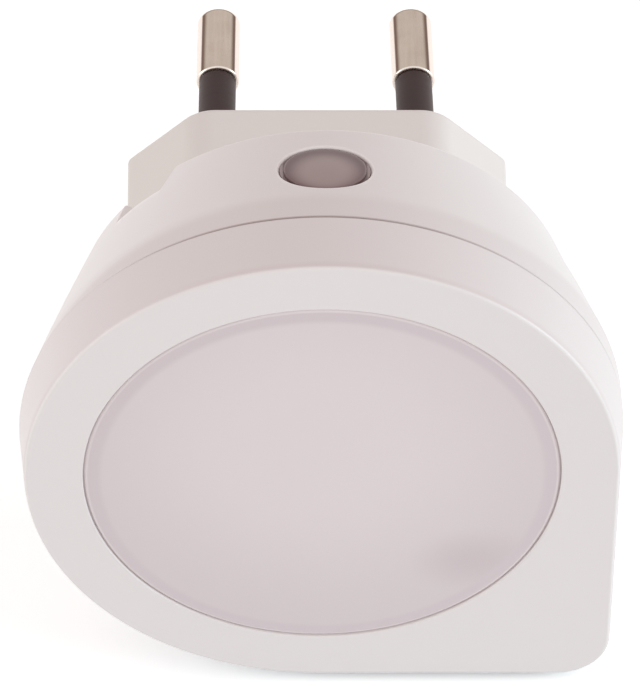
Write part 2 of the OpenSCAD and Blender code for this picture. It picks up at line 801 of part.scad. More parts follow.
module chip_resistors() {
    color([0.1, 0.1, 0.11]) for (place = chips_at)
        on_board(place) translate([-chip_size[0] / 2, -chip_size[1] / 2, 0]) cube(chip_size);
}

module link_header() {
    height = led_board_z - board_front - 2 * fine;
    color([0.2, 0.2, 0.22]) on_board(header_at) {
        translate([-header_size[0] / 2, -header_size[1] / 2, 0]) cube(header_size);
        for (side = [-1, 1])
            translate([-header_pin / 2, side * header_pitch / 2 - header_pin / 2, 0])
                cube([header_pin, header_pin, height]);
    }
}

module light_sensor() {
    leg_x = 1.7;
    leg_y = rim_r + sensor_at * tan(taper_angle) - ldr_leg_end * cos(taper_angle);
    leg_bend_z = rim_z + sensor_at + ldr_leg_end * sin(taper_angle);
    color([0.75, 0.5, 0.35]) into_wall() {
        on_taper() {
            translate([0, 0, ldr_top - ldr_t]) cylinder(h = ldr_t, r = ldr_d / 2);
            for (side = [-1, 1]) translate([side * leg_x, 0, -ldr_leg_end])
                cylinder(h = ldr_leg_end + ldr_top - ldr_t + fine, r = wire_d / 2 - fine, $fn = 16);
        }
        for (side = [-1, 1]) translate([side * leg_x, leg_y, board_front + fine])
            cylinder(h = leg_bend_z - board_front + wire_d / 2, r = wire_d / 2, $fn = 16);
    }
}

module sensor_holder() {
    plate_w = 2 * peg_at + peg_d + 2 * window_margin;
    plate_h = 2 * window_r - window_margin;
    color([0.12, 0.12, 0.13]) into_wall() on_taper() difference() {
        union() {
            translate([0, 0, holder_top - holder_t]) linear_extrude(holder_t)
                round_slot(plate_w, plate_h);
            translate([0, 0, holder_top - holder_t - holder_tube_l])
                cylinder(h = holder_tube_l + holder_t, r = ldr_d / 2 + 1);
        }
        translate([0, 0, holder_top - holder_t - holder_tube_l - cut])
            cylinder(h = holder_tube_l + holder_t + 2 * cut, r = ldr_d / 2 + slip);
        for (side = [-1, 1]) translate([side * peg_at, 0, holder_top - holder_t - cut])
            cylinder(h = holder_t + 2 * cut, r = peg_d / 2 + slip);
    }
}

module sensor_window() {
    color([0.5, 0.43, 0.42]) into_wall() on_taper() {
        intersection() {
            translate([0, 0, flange_low]) cylinder(h = -flange_low + cut, r = window_r);
            translate([0, 0, sensor_proud - sensor_dome_r]) sphere(r = sensor_dome_r);
        }
        translate([0, 0, flange_low])
            cylinder(h = flange_top - flange_low, r = sensor_d / 2 + window_margin);
    }
}

module led_board() {
    color([0.93, 0.93, 0.9]) into_wall() translate([0, 0, led_board_z]) difference() {
        cylinder(h = led_board_t, r = led_board_r);
        for (i = [0:2]) around(60 + 120 * i, stake_at) translate([0, 0, -cut])
            cylinder(h = led_board_t + 2 * cut, r = stake_d / 2 + slip);
    }
}

module led_packages() {
    color([0.95, 0.9, 0.6]) into_wall() for (i = [0:led_count - 1]) around(360 * i / led_count, led_at)
        translate([0, 0, led_board_front + fine]) {
            translate([-led_side / 2, -led_side / 2, 0]) cube([led_side, led_side, led_h - 0.2]);
            cylinder(h = led_h, r = led_side * 0.4);
        }
}

front_cover();
diffuser_lens();
rear_housing();
plug_block();
plug_retainer();
retainer_screws();
pin_left();
pin_right();
sleeve_left();
sleeve_right();
pin_carrier();
live_lead();
neutral_lead();
driver_board();
board_screws();
film_capacitor();
smoothing_capacitor();
bridge_rectifier();
fusible_resistor();
bleeder_resistor();
surge_absorber();
switch_transistor();
zener_diode();
chip_resistors();
light_sensor();
sensor_holder();
sensor_window();
link_header();
led_board();
led_packages();
reflector_tray();
tray_screws();
corner_screw();
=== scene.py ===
import math

import bmesh
import bpy
from mathutils import Matrix, Vector


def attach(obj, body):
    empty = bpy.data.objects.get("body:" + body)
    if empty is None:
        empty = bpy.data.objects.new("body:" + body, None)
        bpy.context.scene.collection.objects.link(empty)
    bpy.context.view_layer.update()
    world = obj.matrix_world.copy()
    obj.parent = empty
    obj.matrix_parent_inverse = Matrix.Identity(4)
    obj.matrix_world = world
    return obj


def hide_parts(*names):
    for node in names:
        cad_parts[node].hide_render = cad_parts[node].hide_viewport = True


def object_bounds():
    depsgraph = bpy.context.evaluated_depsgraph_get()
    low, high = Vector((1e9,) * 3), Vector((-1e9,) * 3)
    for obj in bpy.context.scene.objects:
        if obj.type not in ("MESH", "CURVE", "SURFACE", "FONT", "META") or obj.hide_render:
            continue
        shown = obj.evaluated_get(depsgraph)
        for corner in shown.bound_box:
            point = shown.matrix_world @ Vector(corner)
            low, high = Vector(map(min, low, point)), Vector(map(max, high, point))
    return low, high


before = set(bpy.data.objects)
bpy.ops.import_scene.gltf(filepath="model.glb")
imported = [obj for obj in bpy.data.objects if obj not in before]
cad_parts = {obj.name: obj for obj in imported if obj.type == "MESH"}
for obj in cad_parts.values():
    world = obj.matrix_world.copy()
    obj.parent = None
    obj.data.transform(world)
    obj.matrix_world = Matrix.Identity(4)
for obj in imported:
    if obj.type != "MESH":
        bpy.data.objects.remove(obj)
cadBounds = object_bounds()
print("night light: frame loaded")

mm = 0.001  # sizes below are in millimetres, and depth is the distance in front of the plug face


def bench(across, depth, up):
    return Vector((across, -depth, up)) * mm


def polar(angle, radius, depth):
    return bench(radius * math.sin(angle), depth, radius * math.cos(angle))


def addObject(name, data):
    added = bpy.data.objects.new(name, data)
    bpy.context.scene.collection.objects.link(added)
    return added


# camera

photoCamera = {
    "imageHeight": 693,
    "focalPixels": 6500,
    "aim": (0.052, 21.9, -2.43),
    "distance": 586,
    "azimuth": 1.4,
    "elevation": 45.909,
    "roll": 0.975,
    "sensor": 36.0,
    "clip": (0.01, 20),
}


def makeCamera(settings):
    azimuth, elevation, roll = (math.radians(settings[k]) for k in ("azimuth", "elevation", "roll"))
    ahead = Vector((math.sin(azimuth) * math.cos(elevation),
                    math.cos(azimuth) * math.cos(elevation), -math.sin(elevation)))
    level = Vector((math.cos(azimuth), -math.sin(azimuth), 0))
    above = level.cross(ahead)
    right = level * math.cos(roll) + above * math.sin(roll)
    top = above * math.cos(roll) - level * math.sin(roll)
    data = bpy.data.cameras.new("photoCamera")
    data.sensor_width = settings["sensor"]
    data.lens = settings["focalPixels"] / settings["imageHeight"] * settings["sensor"]
    data.clip_start, data.clip_end = settings["clip"]
    camera = addObject("photoCamera", data)
    turn = Matrix((right, top, -ahead)).transposed().to_4x4()
    stand = bench(*settings["aim"]) - ahead * settings["distance"] * mm
    camera.matrix_world = Matrix.Translation(stand) @ turn
    bpy.context.scene.camera = camera


# short ways to add and join nodes

class nodeTree:
    def __init__(self, tree):
        self.nodes, self.links = tree.nodes, tree.links

    def feed(self, socket, value):
        if isinstance(value, bpy.types.NodeSocket):
            self.links.new(value, socket)
        elif value is not None:
            opaque = socket.type == "RGBA" and len(value) == 3
            socket.default_value = (*value, 1) if opaque else value

    def add(self, kind, inputs, **settings):
        node = self.nodes.new(kind)
        for label, value in settings.items():
            setattr(node, label, value)
        for label, value in inputs.items():
            self.feed(node.inputs[label], value)
        return node

    def calc(self, operation, first, second=None, clamp=False):
        node = self.add("ShaderNodeMath", {0: first, 1: second}, operation=operation, use_clamp=clamp)
        return node.outputs[0]

    def vector(self, operation, first, second=None, output=0):
        node = self.add("ShaderNodeVectorMath", {0: first, 1: second}, operation=operation)
        return node.outputs[output]

    def squares(self, first, second):
        return self.calc("ADD", *(self.calc("MULTIPLY", value, value) for value in (first, second)))

    def mix(self, factor, first, second):
        return self.add("ShaderNodeMix", {0: factor, 6: first, 7: second}, data_type="RGBA").outputs[2]

    def noise(self, vector, scale, detail, rough=0.5):
        inputs = {"Vector": vector, "Scale": scale, "Detail": detail, "Roughness": rough}
        return self.add("ShaderNodeTexNoise", inputs).outputs["Fac"]

    def bands(self, vector, direction, radian, distortion=0.0):
        # radian is its length in millimetres; the texture multiplies a place by 20 itself
        inputs = {"Vector": vector, "Scale": 1 / (radian * mm) / 20, "Distortion": distortion}
        wave = self.add("ShaderNodeTexWave", inputs, wave_type="BANDS", bands_direction=direction)
        return wave.outputs["Fac"]

    def ramp(self, value, start, end):
        inputs = {"Value": value, "From Min": start, "From Max": end}
        return self.add("ShaderNodeMapRange", inputs, interpolation_type="SMOOTHSTEP").outputs[0]

    def run(self, value, span):
        # the same between two places in millimetres
        return self.ramp(value, span[0] * mm, span[1] * mm)

    def sheen(self, value, given):
        inputs = {"Value": value, "To Min": given["Sheen Low"], "To Max": given["Sheen High"]}
        return self.add("ShaderNodeMapRange", inputs).outputs[0]

    def cameraOrShine(self):
        # one where the eye, a reflection or clear plastic sees it, so that the white paper shows there
        path = self.add("ShaderNodeLightPath", {}).outputs
        seen = self.calc("MAXIMUM", path["Is Camera Ray"], path["Is Glossy Ray"])
        return self.calc("MAXIMUM", seen, path["Is Transmission Ray"])


# floor and light

studio = {
    "floorSize": 4.0,
    "floorGap": 0.0002,
    "floorColor": (0.88, 0.94, 0.96),
    "floorShown": (1.42, 1.485, 1.495),
    "skyColor": (1.0, 0.885, 0.86),
    "skyStrength": 0.65,
    "lampAim": (0, 25, 0),
    "lampSize": 0.5,
    "lamps": [  # name, place in metres, watts, colour
        ("leftSoftbox", (-0.80, -0.20, 0.12), 2.85, (0.875, 0.97, 0.98)),
        ("rightSoftbox", (0.81, -0.20, 0.12), 4.75, (0.79, 0.945, 1.0)),
        ("frontFill", (0.0, -0.90, 0.25), 0.5, (1.0, 1.0, 1.0)),
    ],
}


def makeStudio(settings):
    world = bpy.data.worlds.new("studioWorld")
    bpy.context.scene.world = world
    world.use_nodes = True
    g = nodeTree(world.node_tree)
    g.nodes.clear()
    soft = g.add("ShaderNodeBackground",
                 {"Color": settings["skyColor"], "Strength": settings["skyStrength"]})
    paper = g.add("ShaderNodeBackground", {"Color": (1, 1, 1), "Strength": 1.0})
    both = g.add("ShaderNodeMixShader", {0: g.cameraOrShine(), 1: soft.outputs[0], 2: paper.outputs[0]})
    g.add("ShaderNodeOutputWorld", {"Surface": both.outputs[0]})

    low = cadBounds[0].z - settings["floorGap"]
    half = settings["floorSize"]
    floor = bpy.data.meshes.new("studioFloor")
    floor.from_pydata([(-half, -half, low), (half, -half, low), (half, half, low), (-half, half, low)],
                      [], [(0, 1, 2, 3)])
    floorObject = addObject("studioFloor", floor)
    material = bpy.data.materials.new("studioPaper")
    material.use_nodes = True
    g = nodeTree(material.node_tree)
    g.nodes.remove(g.nodes["Principled BSDF"])
    shown = g.mix(g.cameraOrShine(), settings["floorColor"], settings["floorShown"])
    matt = g.add("ShaderNodeBsdfDiffuse", {"Color": shown})
    g.feed(g.nodes["Material Output"].inputs["Surface"], matt.outputs[0])
    floor.materials.append(material)

    for name, spot, watts, color in settings["lamps"]:
        data = bpy.data.lights.new(name, "AREA")
        data.shape = "SQUARE"
        data.size = settings["lampSize"]
        data.energy, data.color = watts, color
        lamp = addObject(name, data)
        lamp.location = spot
        aim = bench(*settings["lampAim"]) - Vector(spot)
        lamp.rotation_euler = aim.to_track_quat("-Z", "Y").to_euler()


bpy.context.scene.view_settings.view_transform = "Standard"
makeCamera(photoCamera)
makeStudio(studio)
print("night light: camera, floor and light")


# shared shader groups

grey = (0.5, 0.5, 0.5, 1)


def startGroup(name, inputs, outputs):
    # a socket's kind follows from its first value: a number, a place or a colour
    group = bpy.data.node_groups.new(name, "ShaderNodeTree")
    for label, value in inputs.items():
        kind = "Float" if isinstance(value, float) else "Color" if len(value) == 4 else "Vector"
        socket = group.interface.new_socket(label, in_out="INPUT", socket_type="NodeSocket" + kind)
        socket.default_value = value
    for label in outputs:
        kind = "Color" if label == "Color" else "Float"
        group.interface.new_socket(label, in_out="OUTPUT", socket_type="NodeSocket" + kind)
    g = nodeTree(group)
    return group, g, g.add("NodeGroupInput", {}).outputs


def makeMouldedSkin():
    # a moulding's slow change of tone, its fine spark texture and the sheen that goes with it
    group, g, given = startGroup(
        "mouldedSkin",
        {"Vector": (0, 0, 0), "Tone": grey, "Shade": grey, "Mottle": 0.3, "Cloud Size": 12.0,
         "Grain Size": 0.12, "Sheen Low": 0.3, "Sheen High": 0.4}, ("Color", "Roughness", "Height"))
    cloud = g.noise(given["Vector"], g.calc("DIVIDE", 1 / mm, given["Cloud Size"]), 3)
    grain = g.noise(given["Vector"], g.calc("DIVIDE", 1 / mm, given["Grain Size"]), 2, 0.6)
    spread = g.calc("MULTIPLY", cloud, given["Mottle"], True)
    g.add("NodeGroupOutput", {"Color": g.mix(spread, given["Tone"], given["Shade"]),
                              "Roughness": g.sheen(grain, given), "Height": grain})
    return group


def makeDrawnMetal():
    # fine scratches along one axis over a plated surface
    group, g, given = startGroup(
        "drawnMetal",
        {"Vector": (0, 0, 0), "Tone": grey, "Stain": grey, "Stretch": (1, 1, 1), "Scratch Size": 0.2,
         "Sheen Low": 0.15, "Sheen High": 0.3}, ("Color", "Roughness", "Height"))
    drawn = g.vector("MULTIPLY", given["Vector"], given["Stretch"])
    scratch = g.noise(drawn, g.calc("DIVIDE", 1 / mm, given["Scratch Size"]), 4, 0.65)
    patch = g.noise(given["Vector"], 1 / (2.5 * mm), 3)
    both = g.calc("MULTIPLY", scratch, patch, True)
    g.add("NodeGroupOutput", {"Color": g.mix(both, given["Tone"], given["Stain"]),
                              "Roughness": g.sheen(scratch, given), "Height": scratch})
    return group


def makeAxialFinish():
    # a body with coloured bands round it and bare wire ends
    group, g, given = startGroup(
        "axialFinish",
        {"Vector": (0, 0, 0), "Centre": (0, 0, 0), "Axis": (1, 0, 0), "Half Length": 4.0,
         "Wire Radius": 0.35, "Band Pitch": 1.6, "Band Share": 0.35, "Band Reach": 2.6,
         "Body": grey, "Band": grey, "Wire": (0.7, 0.7, 0.7, 1)}, ("Color", "Metal"))
    offset = g.vector("SUBTRACT", given["Vector"], given["Centre"])
    along = g.calc("DIVIDE", g.vector("DOT_PRODUCT", offset, given["Axis"], "Value"), mm)
    sideways = g.vector("CROSS_PRODUCT", offset, given["Axis"])
    away = g.calc("DIVIDE", g.vector("LENGTH", sideways, None, "Value"), mm)
    fromMiddle = g.calc("ABSOLUTE", along)
    thick = g.calc("GREATER_THAN", away, given["Wire Radius"])
    body = g.calc("MULTIPLY", thick, g.calc("LESS_THAN", fromMiddle, given["Half Length"]))
    share = g.calc("FRACT", g.calc("DIVIDE", along, given["Band Pitch"]))
    banded = g.calc("LESS_THAN", share, given["Band Share"])
    stripes = g.calc("MULTIPLY", banded, g.calc("LESS_THAN", fromMiddle, given["Band Reach"]))
    painted = g.mix(stripes, given["Body"], given["Band"])
    g.add("NodeGroupOutput", {"Color": g.mix(body, given["Wire"], painted),
                              "Metal": g.calc("SUBTRACT", 1.0, body)})
    return group


mouldedSkin = makeMouldedSkin()
drawnMetal = makeDrawnMetal()
axialFinish = makeAxialFinish()


class pieceFinish(nodeTree):
    # a material with one shader, and the object's own coordinates
    def __init__(self, name, specular=0.5, metallic=0.0):
        self.material = bpy.data.materials.new(name)
        self.material.use_nodes = True
        super().__init__(self.material.node_tree)
        self.shader = self.nodes["Principled BSDF"].inputs
        self.feed(self.shader["Specular IOR Level"], specular)
        self.feed(self.shader["Metallic"], metallic)
        self.place = self.add("ShaderNodeTexCoord", {}).outputs["Object"]

    def axes(self):
        return tuple(self.add("ShaderNodeSeparateXYZ", {0: self.place}).outputs)

    def use(self, group, values):
        return self.add("ShaderNodeGroup", {"Vector": self.place, **values}, node_tree=group).outputs

    def skin(self, tone, shade, mottle, cloud, grain, sheen):
        return self.use(mouldedSkin, {
            "Tone": tone, "Shade": shade, "Mottle": mottle, "Cloud Size": cloud, "Grain Size": grain,
            "Sheen Low": sheen[0], "Sheen High": sheen[1]})

    def metal(self, tone, stain, stretch, scratch, sheen):
        return self.use(drawnMetal, {
            "Tone": tone, "Stain": stain, "Stretch": stretch, "Scratch Size": scratch,
            "Sheen Low": sheen[0], "Sheen High": sheen[1]})

    def bump(self, height, relief):
        # relief is its height in millimetres
        bump = self.add("ShaderNodeBump", {"Strength": 1.0, "Distance": relief * mm, "Height": height})
        self.feed(self.shader["Normal"], bump.outputs["Normal"])

    def wear(self, skin, color, relief):
        self.feed(self.shader["Base Color"], color)
        self.feed(self.shader["Roughness"], skin["Roughness"])
        self.bump(skin["Height"], relief)
        return self.material

    def mark(self, label):
        return self.add("ShaderNodeAttribute", {}, attribute_name=label).outputs["Fac"]

    def radial(self, centre, start, end, stretch=(1.0, 1.0)):
        # zero inside the start radius and one past the end, in the plane that faces the room
        x, _, z = self.axes()
        across = self.calc("MULTIPLY", self.calc("SUBTRACT", x, centre[0] * mm), 1 / (stretch[0] * mm))
        up = self.calc("MULTIPLY", self.calc("SUBTRACT", z, centre[1] * mm), 1 / (stretch[1] * mm))
        return self.ramp(self.calc("SQRT", self.squares(across, up)), start, end)


def faded(tone, share):
    return tuple(v * share for v in tone)


def moulding(name, tone, shade, mottle, cloud, grain, sheen=(0.3, 0.4), relief=0.004,
             specular=0.5, stretch=None):
    g = pieceFinish(name, specular)
    if stretch:
        g.place = g.vector("MULTIPLY", g.place, stretch)
    skin = g.skin(tone, shade, mottle, cloud, grain, sheen)
    return g.wear(skin, skin["Color"], relief)


whitePlastic = {
    "tone": (0.83, 0.795, 0.79),
    "shade": (0.80, 0.76, 0.755),
    # painted shade: the band in front of the crease is darker, more so on its left side
    "bandShadeTone": (0.765, 0.715, 0.71),
    "bandLeftShadeTone": (0.73, 0.67, 0.665),
    "bandLeftRuns": ((-6, -17), (-26, -20)),
    # painted shade in the parting line, fading out towards the left and the right
    "seamShadeTone": (0.56, 0.49, 0.48),
    "seamRuns": ((-19, -9), (23, 10)),
    "relief": 0.0035,
}


def outerMoulding(name, rimShadeAndHighlightTone, seamSide):
    # the white mouldings: painted shade on the band and in the parting line, and a painted line along
    # the edge, a highlight on the housing's rim and a shade under the cover's face edge
    c = whitePlastic
    g = pieceFinish(name)
    x, y, _ = g.axes()

    def between(runs):
        return g.calc("MULTIPLY", g.run(x, runs[0]), g.run(x, runs[1]))

    skin = g.skin(c["tone"], c["shade"], 0.5, 16.0, 0.14, (0.36, 0.46))
    # painted shade on the band, deeper towards the left
    bandShadeTone = g.mix(between(c["bandLeftRuns"]), c["bandShadeTone"], c["bandLeftShadeTone"])
    banded = g.mix(g.mark("band"), skin["Color"], bandShadeTone)
    # painted shade along the parting line
    line = g.calc("MULTIPLY", g.run(y, (-seamSide[0], -seamSide[1])), between(c["seamRuns"]))
    lined = g.mix(line, banded, c["seamShadeTone"])
    # the rim mark paints a highlight on the housing's rim and round its sensor hole, and a shade line
    # under the cover's face edge
    return g.wear(skin, g.mix(g.mark("rim"), lined, rimShadeAndHighlightTone), c["relief"])


def markMesh(mesh, label, valueAt):
    # a number on every corner point that the piece's material reads
    marks = mesh.attributes.new(label, "FLOAT", "POINT")
    for vertex in mesh.vertices:
        marks.data[vertex.index].value = valueAt(vertex.co.x / mm, -vertex.co.y / mm, vertex.co.z / mm)


# mesh tools

def roundedPath(corners, steps=4, hold=0.06):
    # (x, y, radius) corners to points with each corner rounded, save the first and the last;
    # hold keeps the flats beside a corner flat
    points = []
    for k, (x, y, radius) in enumerate(corners):
        corner = Vector((x, y))
        if radius <= 0 or k in (0, len(corners) - 1):
            points.append(corner)
            continue
        before = (Vector(corners[k - 1][:2]) - corner).normalized()
        after = (Vector(corners[k + 1][:2]) - corner).normalized()
        half = before.angle(after) / 2
        reach = radius / math.tan(half)
        centre = corner + (before + after).normalized() * (radius / math.sin(half))
        start = corner + before * reach - centre
        sweep = start.angle_signed(corner + after * reach - centre)
        points.append(corner + before * (reach + hold))
        for step in range(steps + 1):
            turned = start.copy()
            turned.rotate(Matrix.Rotation(-sweep * step / steps, 2))
            points.append(centre + turned)
        points.append(corner + after * (reach + hold))
    return points


def quarterTurn(radius, *turns):
    # how far a rounded edge stands in from its first face and from its second, at each turn
    angles = [math.radians(turn) for turn in turns]
    return [(radius * (1 - math.sin(a)), radius * (1 - math.cos(a))) for a in angles]


def loftFaces(rings, columns, closedRings=False, skip=None):
    faces = []
    for ring in range(rings if closedRings else rings - 1):
        following = (ring + 1) % rings
        for column in range(columns):
            if skip and skip(ring, column):
                continue
            beside = (column + 1) % columns
            faces.append((ring * columns + column, ring * columns + beside,
                          following * columns + beside, following * columns + column))
    return faces


def cappedFaces(rings, columns):
    last = (rings - 1) * columns
    return loftFaces(rings, columns) + [tuple(range(columns)), tuple(range(last, last + columns))]


def toPiece(name, points, faces, material, smoothAngle=35, weld=0.0005):
    mesh = bpy.data.meshes.new(name)
    mesh.from_pydata([tuple(p) for p in points], [], faces)
    work = bmesh.new()
    work.from_mesh(mesh)
    bmesh.ops.remove_doubles(work, verts=work.verts, dist=weld * mm)
    bmesh.ops.delete(work, geom=[v for v in work.verts if not v.link_faces], context="VERTS")
    bmesh.ops.recalc_face_normals(work, faces=work.faces)
    work.to_mesh(mesh)
    work.free()
    mesh.shade_smooth()
    mesh.set_sharp_from_angle(angle=math.radians(smoothAngle))
    mesh.materials.append(material)
    return addObject(name, mesh)


def lathe(profile, columns=96):
    # (radius, depth) profile spun about the lamp's axis; a radius of zero closes a pole
    turns = [2 * math.pi * column / columns for column in range(columns)]
    return [polar(turn, *spot) for spot in profile for turn in turns], loftFaces(len(profile), columns)


def tube(centre, outer, inner, low, high, columns=48):
    # round boss with a blind or open hole, its axis along the lamp's own
    profile = [(inner, low), (inner, high), (outer, high), (outer, low), (inner, low)]
    if inner <= 0:
        profile = [(0, high), (outer, high), (outer, low), (0, low)]
    points, faces = lathe(profile, columns)
    shift = bench(centre[0], 0, centre[1])
    return [p + shift for p in points], faces


def block(low, high):
    # a box between two corners, given as (across, depth, up)
    points = [bench((low, high)[i][0], (low, high)[j][1], (low, high)[k][2])
              for i in (0, 1) for j in (0, 1) for k in (0, 1)]
    return points, [(0, 1, 3, 2), (4, 6, 7, 5), (0, 4, 5, 1), (2, 3, 7, 6), (0, 2, 6, 4), (1, 5, 7, 3)]


def joined(parts):
    points, faces = [], []
    for morePoints, moreFaces in parts:
        base = len(points)
        points += morePoints
        faces += [tuple(base + v for v in face) for face in moreFaces]
    return points, faces


def aroundFace(angle, distance):
    return distance * math.sin(math.radians(angle)), distance * math.cos(math.radians(angle))


def squareCornered(angle, radius, cornerCentre):
    # distance from the middle to a circle whose lower right quarter is square
    across, down = math.sin(angle), -math.cos(angle)
    if across <= 0 or down <= 0:
        return radius
    wide, narrow = max(across, down), min(across, down)
    if radius / wide * narrow <= cornerCentre:
        return radius / wide
    along = cornerCentre * (across + down)
    return along + math.sqrt(max(0, along ** 2 - 2 * cornerCentre ** 2 + (radius - cornerCentre) ** 2))


def smoothStep(value, start, end):
    t = min(1, max(0, (value - start) / (end - start)))
    return t * t * (3 - 2 * t)


def softMin(first, second, width):
    near = max(width - abs(first - second), 0) / width
    return min(first, second) - near * near * width / 4


def fromTable(table, value):
    for (low, first), (high, second) in zip(table, table[1:]):
        if value <= high:
            return first + (second - first) * max(0, value - low) / (high - low)
    return table[-1][1]


def spacedAngles(step, refined, exact=(), closest=0.12):
    # angles in degrees, clockwise from the top, closer together in the refined runs
    angles = set(exact)
    for k in range(round(360 / step)):
        angle = -180 + k * step
        if not any(low < angle < high for low, high, _ in refined):
            angles.add(angle)
    for low, high, count in refined:
        angles.update(low + (high - low) * k / count for k in range(count + 1))
    kept = []
    for angle in sorted(angles):
        if kept and angle - kept[-1] < closest:
            if angle in exact:
                kept[-1] = angle
            continue
        kept.append(angle)
    return [math.radians(a) for a in kept]


def settledMesh(holder):
    mesh = bpy.data.meshes.new_from_object(holder.evaluated_get(bpy.context.evaluated_depsgraph_get()))
    holder.modifiers.clear()
    holder.data = mesh
    return mesh


def cutWith(piece, cutter, operation):
    # the cutter is an object, or the points and faces of one
    if isinstance(cutter, tuple):
        cutter = toPiece("cutter", *cutter, piece.data.materials[0])
    modifier = piece.modifiers.new("cut", "BOOLEAN")
    modifier.operation = operation
    modifier.solver = "EXACT"
    modifier.object = cutter
    settledMesh(piece).set_sharp_from_angle(angle=math.radians(35))
    bpy.data.objects.remove(cutter)


def place(piece, slotName, *nodeNames):
    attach(piece, "root")
    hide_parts(*nodeNames)
    print("night light:", piece.name, len(piece.data.polygons), "faces")


# front cover

cover = {
    "seamDepth": 34.7,
    "faceDepth": 40.3,
    "seamRadius": 26.75,
    "faceRadius": 26.2,
    "cornerCentre": 21.6,
    "cornerRun": (127, 143, 28),
    "bandWall": 1.4,
    "faceWall": 1.8,
    "lensHole": 21.05,
    "faceEdge": 0.3,
    "edgeRun": 0.8,
    "seamEdge": 0.1,
    "holeEdge": 0.1,
    "overlap": 0.05,
    "ear": (1.5, 0.85, 36.85),  # outer and inner radius, and depth of the back end
    "earAngles": (30, 150, 270),
    "earAt": 23.25,
    "screwBoss": (2.4, 1.15),
    "screwAt": 20.6,
    "hookAngles": (75, 195, 315),
    "hookHalf": 2.5,
    "hookColumns": 8,
    "hook": ((23.4, 32.2), (25.2, 32.2), (25.3, 32.4), (25.2, 32.65), (24.4, 32.8), (24.4, 34.7),
             (26.0, 34.75), (26.0, 36.7), (23.4, 36.7)),
    "outsideBy": 0.35,
    # painted shade: where it lies on the band and in the parting line, then the tone and place of a
    # darker line under the face edge
    "bandEnd": (40.0, 40.25),
    "seamRun": (34.84, 34.74),
    "rimShadeAndHighlightTone": (0.73, 0.665, 0.66),
    "rimShadeAndHighlightRun": (39.55, 39.95, 40.05, 40.2),
}


def makeFrontCover(c):
    angles = spacedAngles(1.5, [c["cornerRun"]])
    seam, face, hole = c["seamDepth"], c["faceDepth"], c["lensHole"]
    under = face - c["faceWall"]
    slope = (c["faceRadius"] - c["seamRadius"]) / (face - seam)
    points = []

    def squareRing(radius, depth):
        points.extend(polar(a, squareCornered(a, radius, c["cornerCentre"]), depth) for a in angles)

    band = [(c["bandWall"], seam, 0), (0, seam, c["seamEdge"]), (0, face - c["edgeRun"], 0),
            (0, face, c["faceEdge"]), (6, face, 0)]
    for inset, depth in roundedPath(band, 5)[:-1]:
        squareRing(c["seamRadius"] + slope * (depth - seam) - inset, depth)
    mouth = [(hole + 2, face, 0), (hole, face, c["holeEdge"]), (hole, under, 0)]
    for radius, depth in roundedPath(mouth, 3)[1:]:
        points += [polar(a, radius, depth) for a in angles]
    squareRing(c["faceRadius"] - c["bandWall"], under)

    root = under + c["overlap"]
    parts = [(points, loftFaces(len(points) // len(angles), len(angles), True))]
    parts += [tube(aroundFace(angle, c["earAt"]), *c["ear"], root) for angle in c["earAngles"]]
    parts.append(tube((c["screwAt"], -c["screwAt"]), *c["screwBoss"], seam, root))
    parts += [snapHook(math.radians(angle)) for angle in c["hookAngles"]]
    finish = outerMoulding("coverPlastic", c["rimShadeAndHighlightTone"], c["seamRun"])
    piece = toPiece("frontCover", *joined(parts), finish)

    def outside(x, z):
        return 1.0 if math.hypot(x, z) > c["faceRadius"] - c["outsideBy"] else 0.0

    def onBand(x, depth, z):
        return outside(x, z) * (1 - smoothStep(depth, *c["bandEnd"]))

    # painted shade: a darker line on the band just under the face edge
    def underEdge(x, depth, z):
        begin, full, fade, end = c["rimShadeAndHighlightRun"]
        return outside(x, z) * smoothStep(depth, begin, full) * (1 - smoothStep(depth, fade, end))

    markMesh(piece.data, "band", onBand)
    markMesh(piece.data, "rim", underEdge)
    return piece


def snapHook(angle):
    # a tongue with a bead behind the parting line and a root on the cover's band
    half, columns, profile = cover["hookHalf"], cover["hookColumns"], cover["hook"]
    points = []
    for step in range(columns + 1):
        t = -half + 2 * half * step / columns
        for radius, depth in profile:
            out = math.sqrt(radius ** 2 - t ** 2)
            points.append(bench(out * math.sin(angle) + t * math.cos(angle), depth,
                                out * math.cos(angle) - t * math.sin(angle)))
    count = len(profile)
    ends = [tuple(reversed(range(count))), tuple(range(columns * count, (columns + 1) * count))]
    return points, ends + loftFaces(columns + 1, count)


frontCover = makeFrontCover(cover)
place(frontCover, "cover_white", "front_cover")


# diffuser lens

lens = {
    "radius": 20.97,
    "edgeDepth": 40.2,
    "crown": 1.0,
    "edgeRound": 0.3,
    "edgeSteps": 8,
    "shelf": (21.03, 39.98),
    "wall": 1.5,
    "lipRadius": 21.7,
    "lipBack": 37.45,
    "lipFront": 38.45,
    "rings": 20,
    "columns": 192,
    "tone": (0.785, 0.713, 0.724),
    # painted shade: a darker band inside the edge, a darker patch at the lower right and a darker outer
    # part round a middle set up and to the left
    "rimShadeAndHighlightTone": (0.67, 0.595, 0.615),
    "blobShadeTone": (0.64, 0.56, 0.575),
    "outerShadeTone": (0.70, 0.632, 0.642),
    "outerCentre": (-1.0, 5.0),
    "outerRun": (6.0, 25.0),
    "rimShadeAndHighlightRun": (19.2, 19.9),
    "bevelRun": (20.55, 20.75),
    "blobCentre": (13.8, -10.6),
    "blobSize": (7.0, 5.0),
}


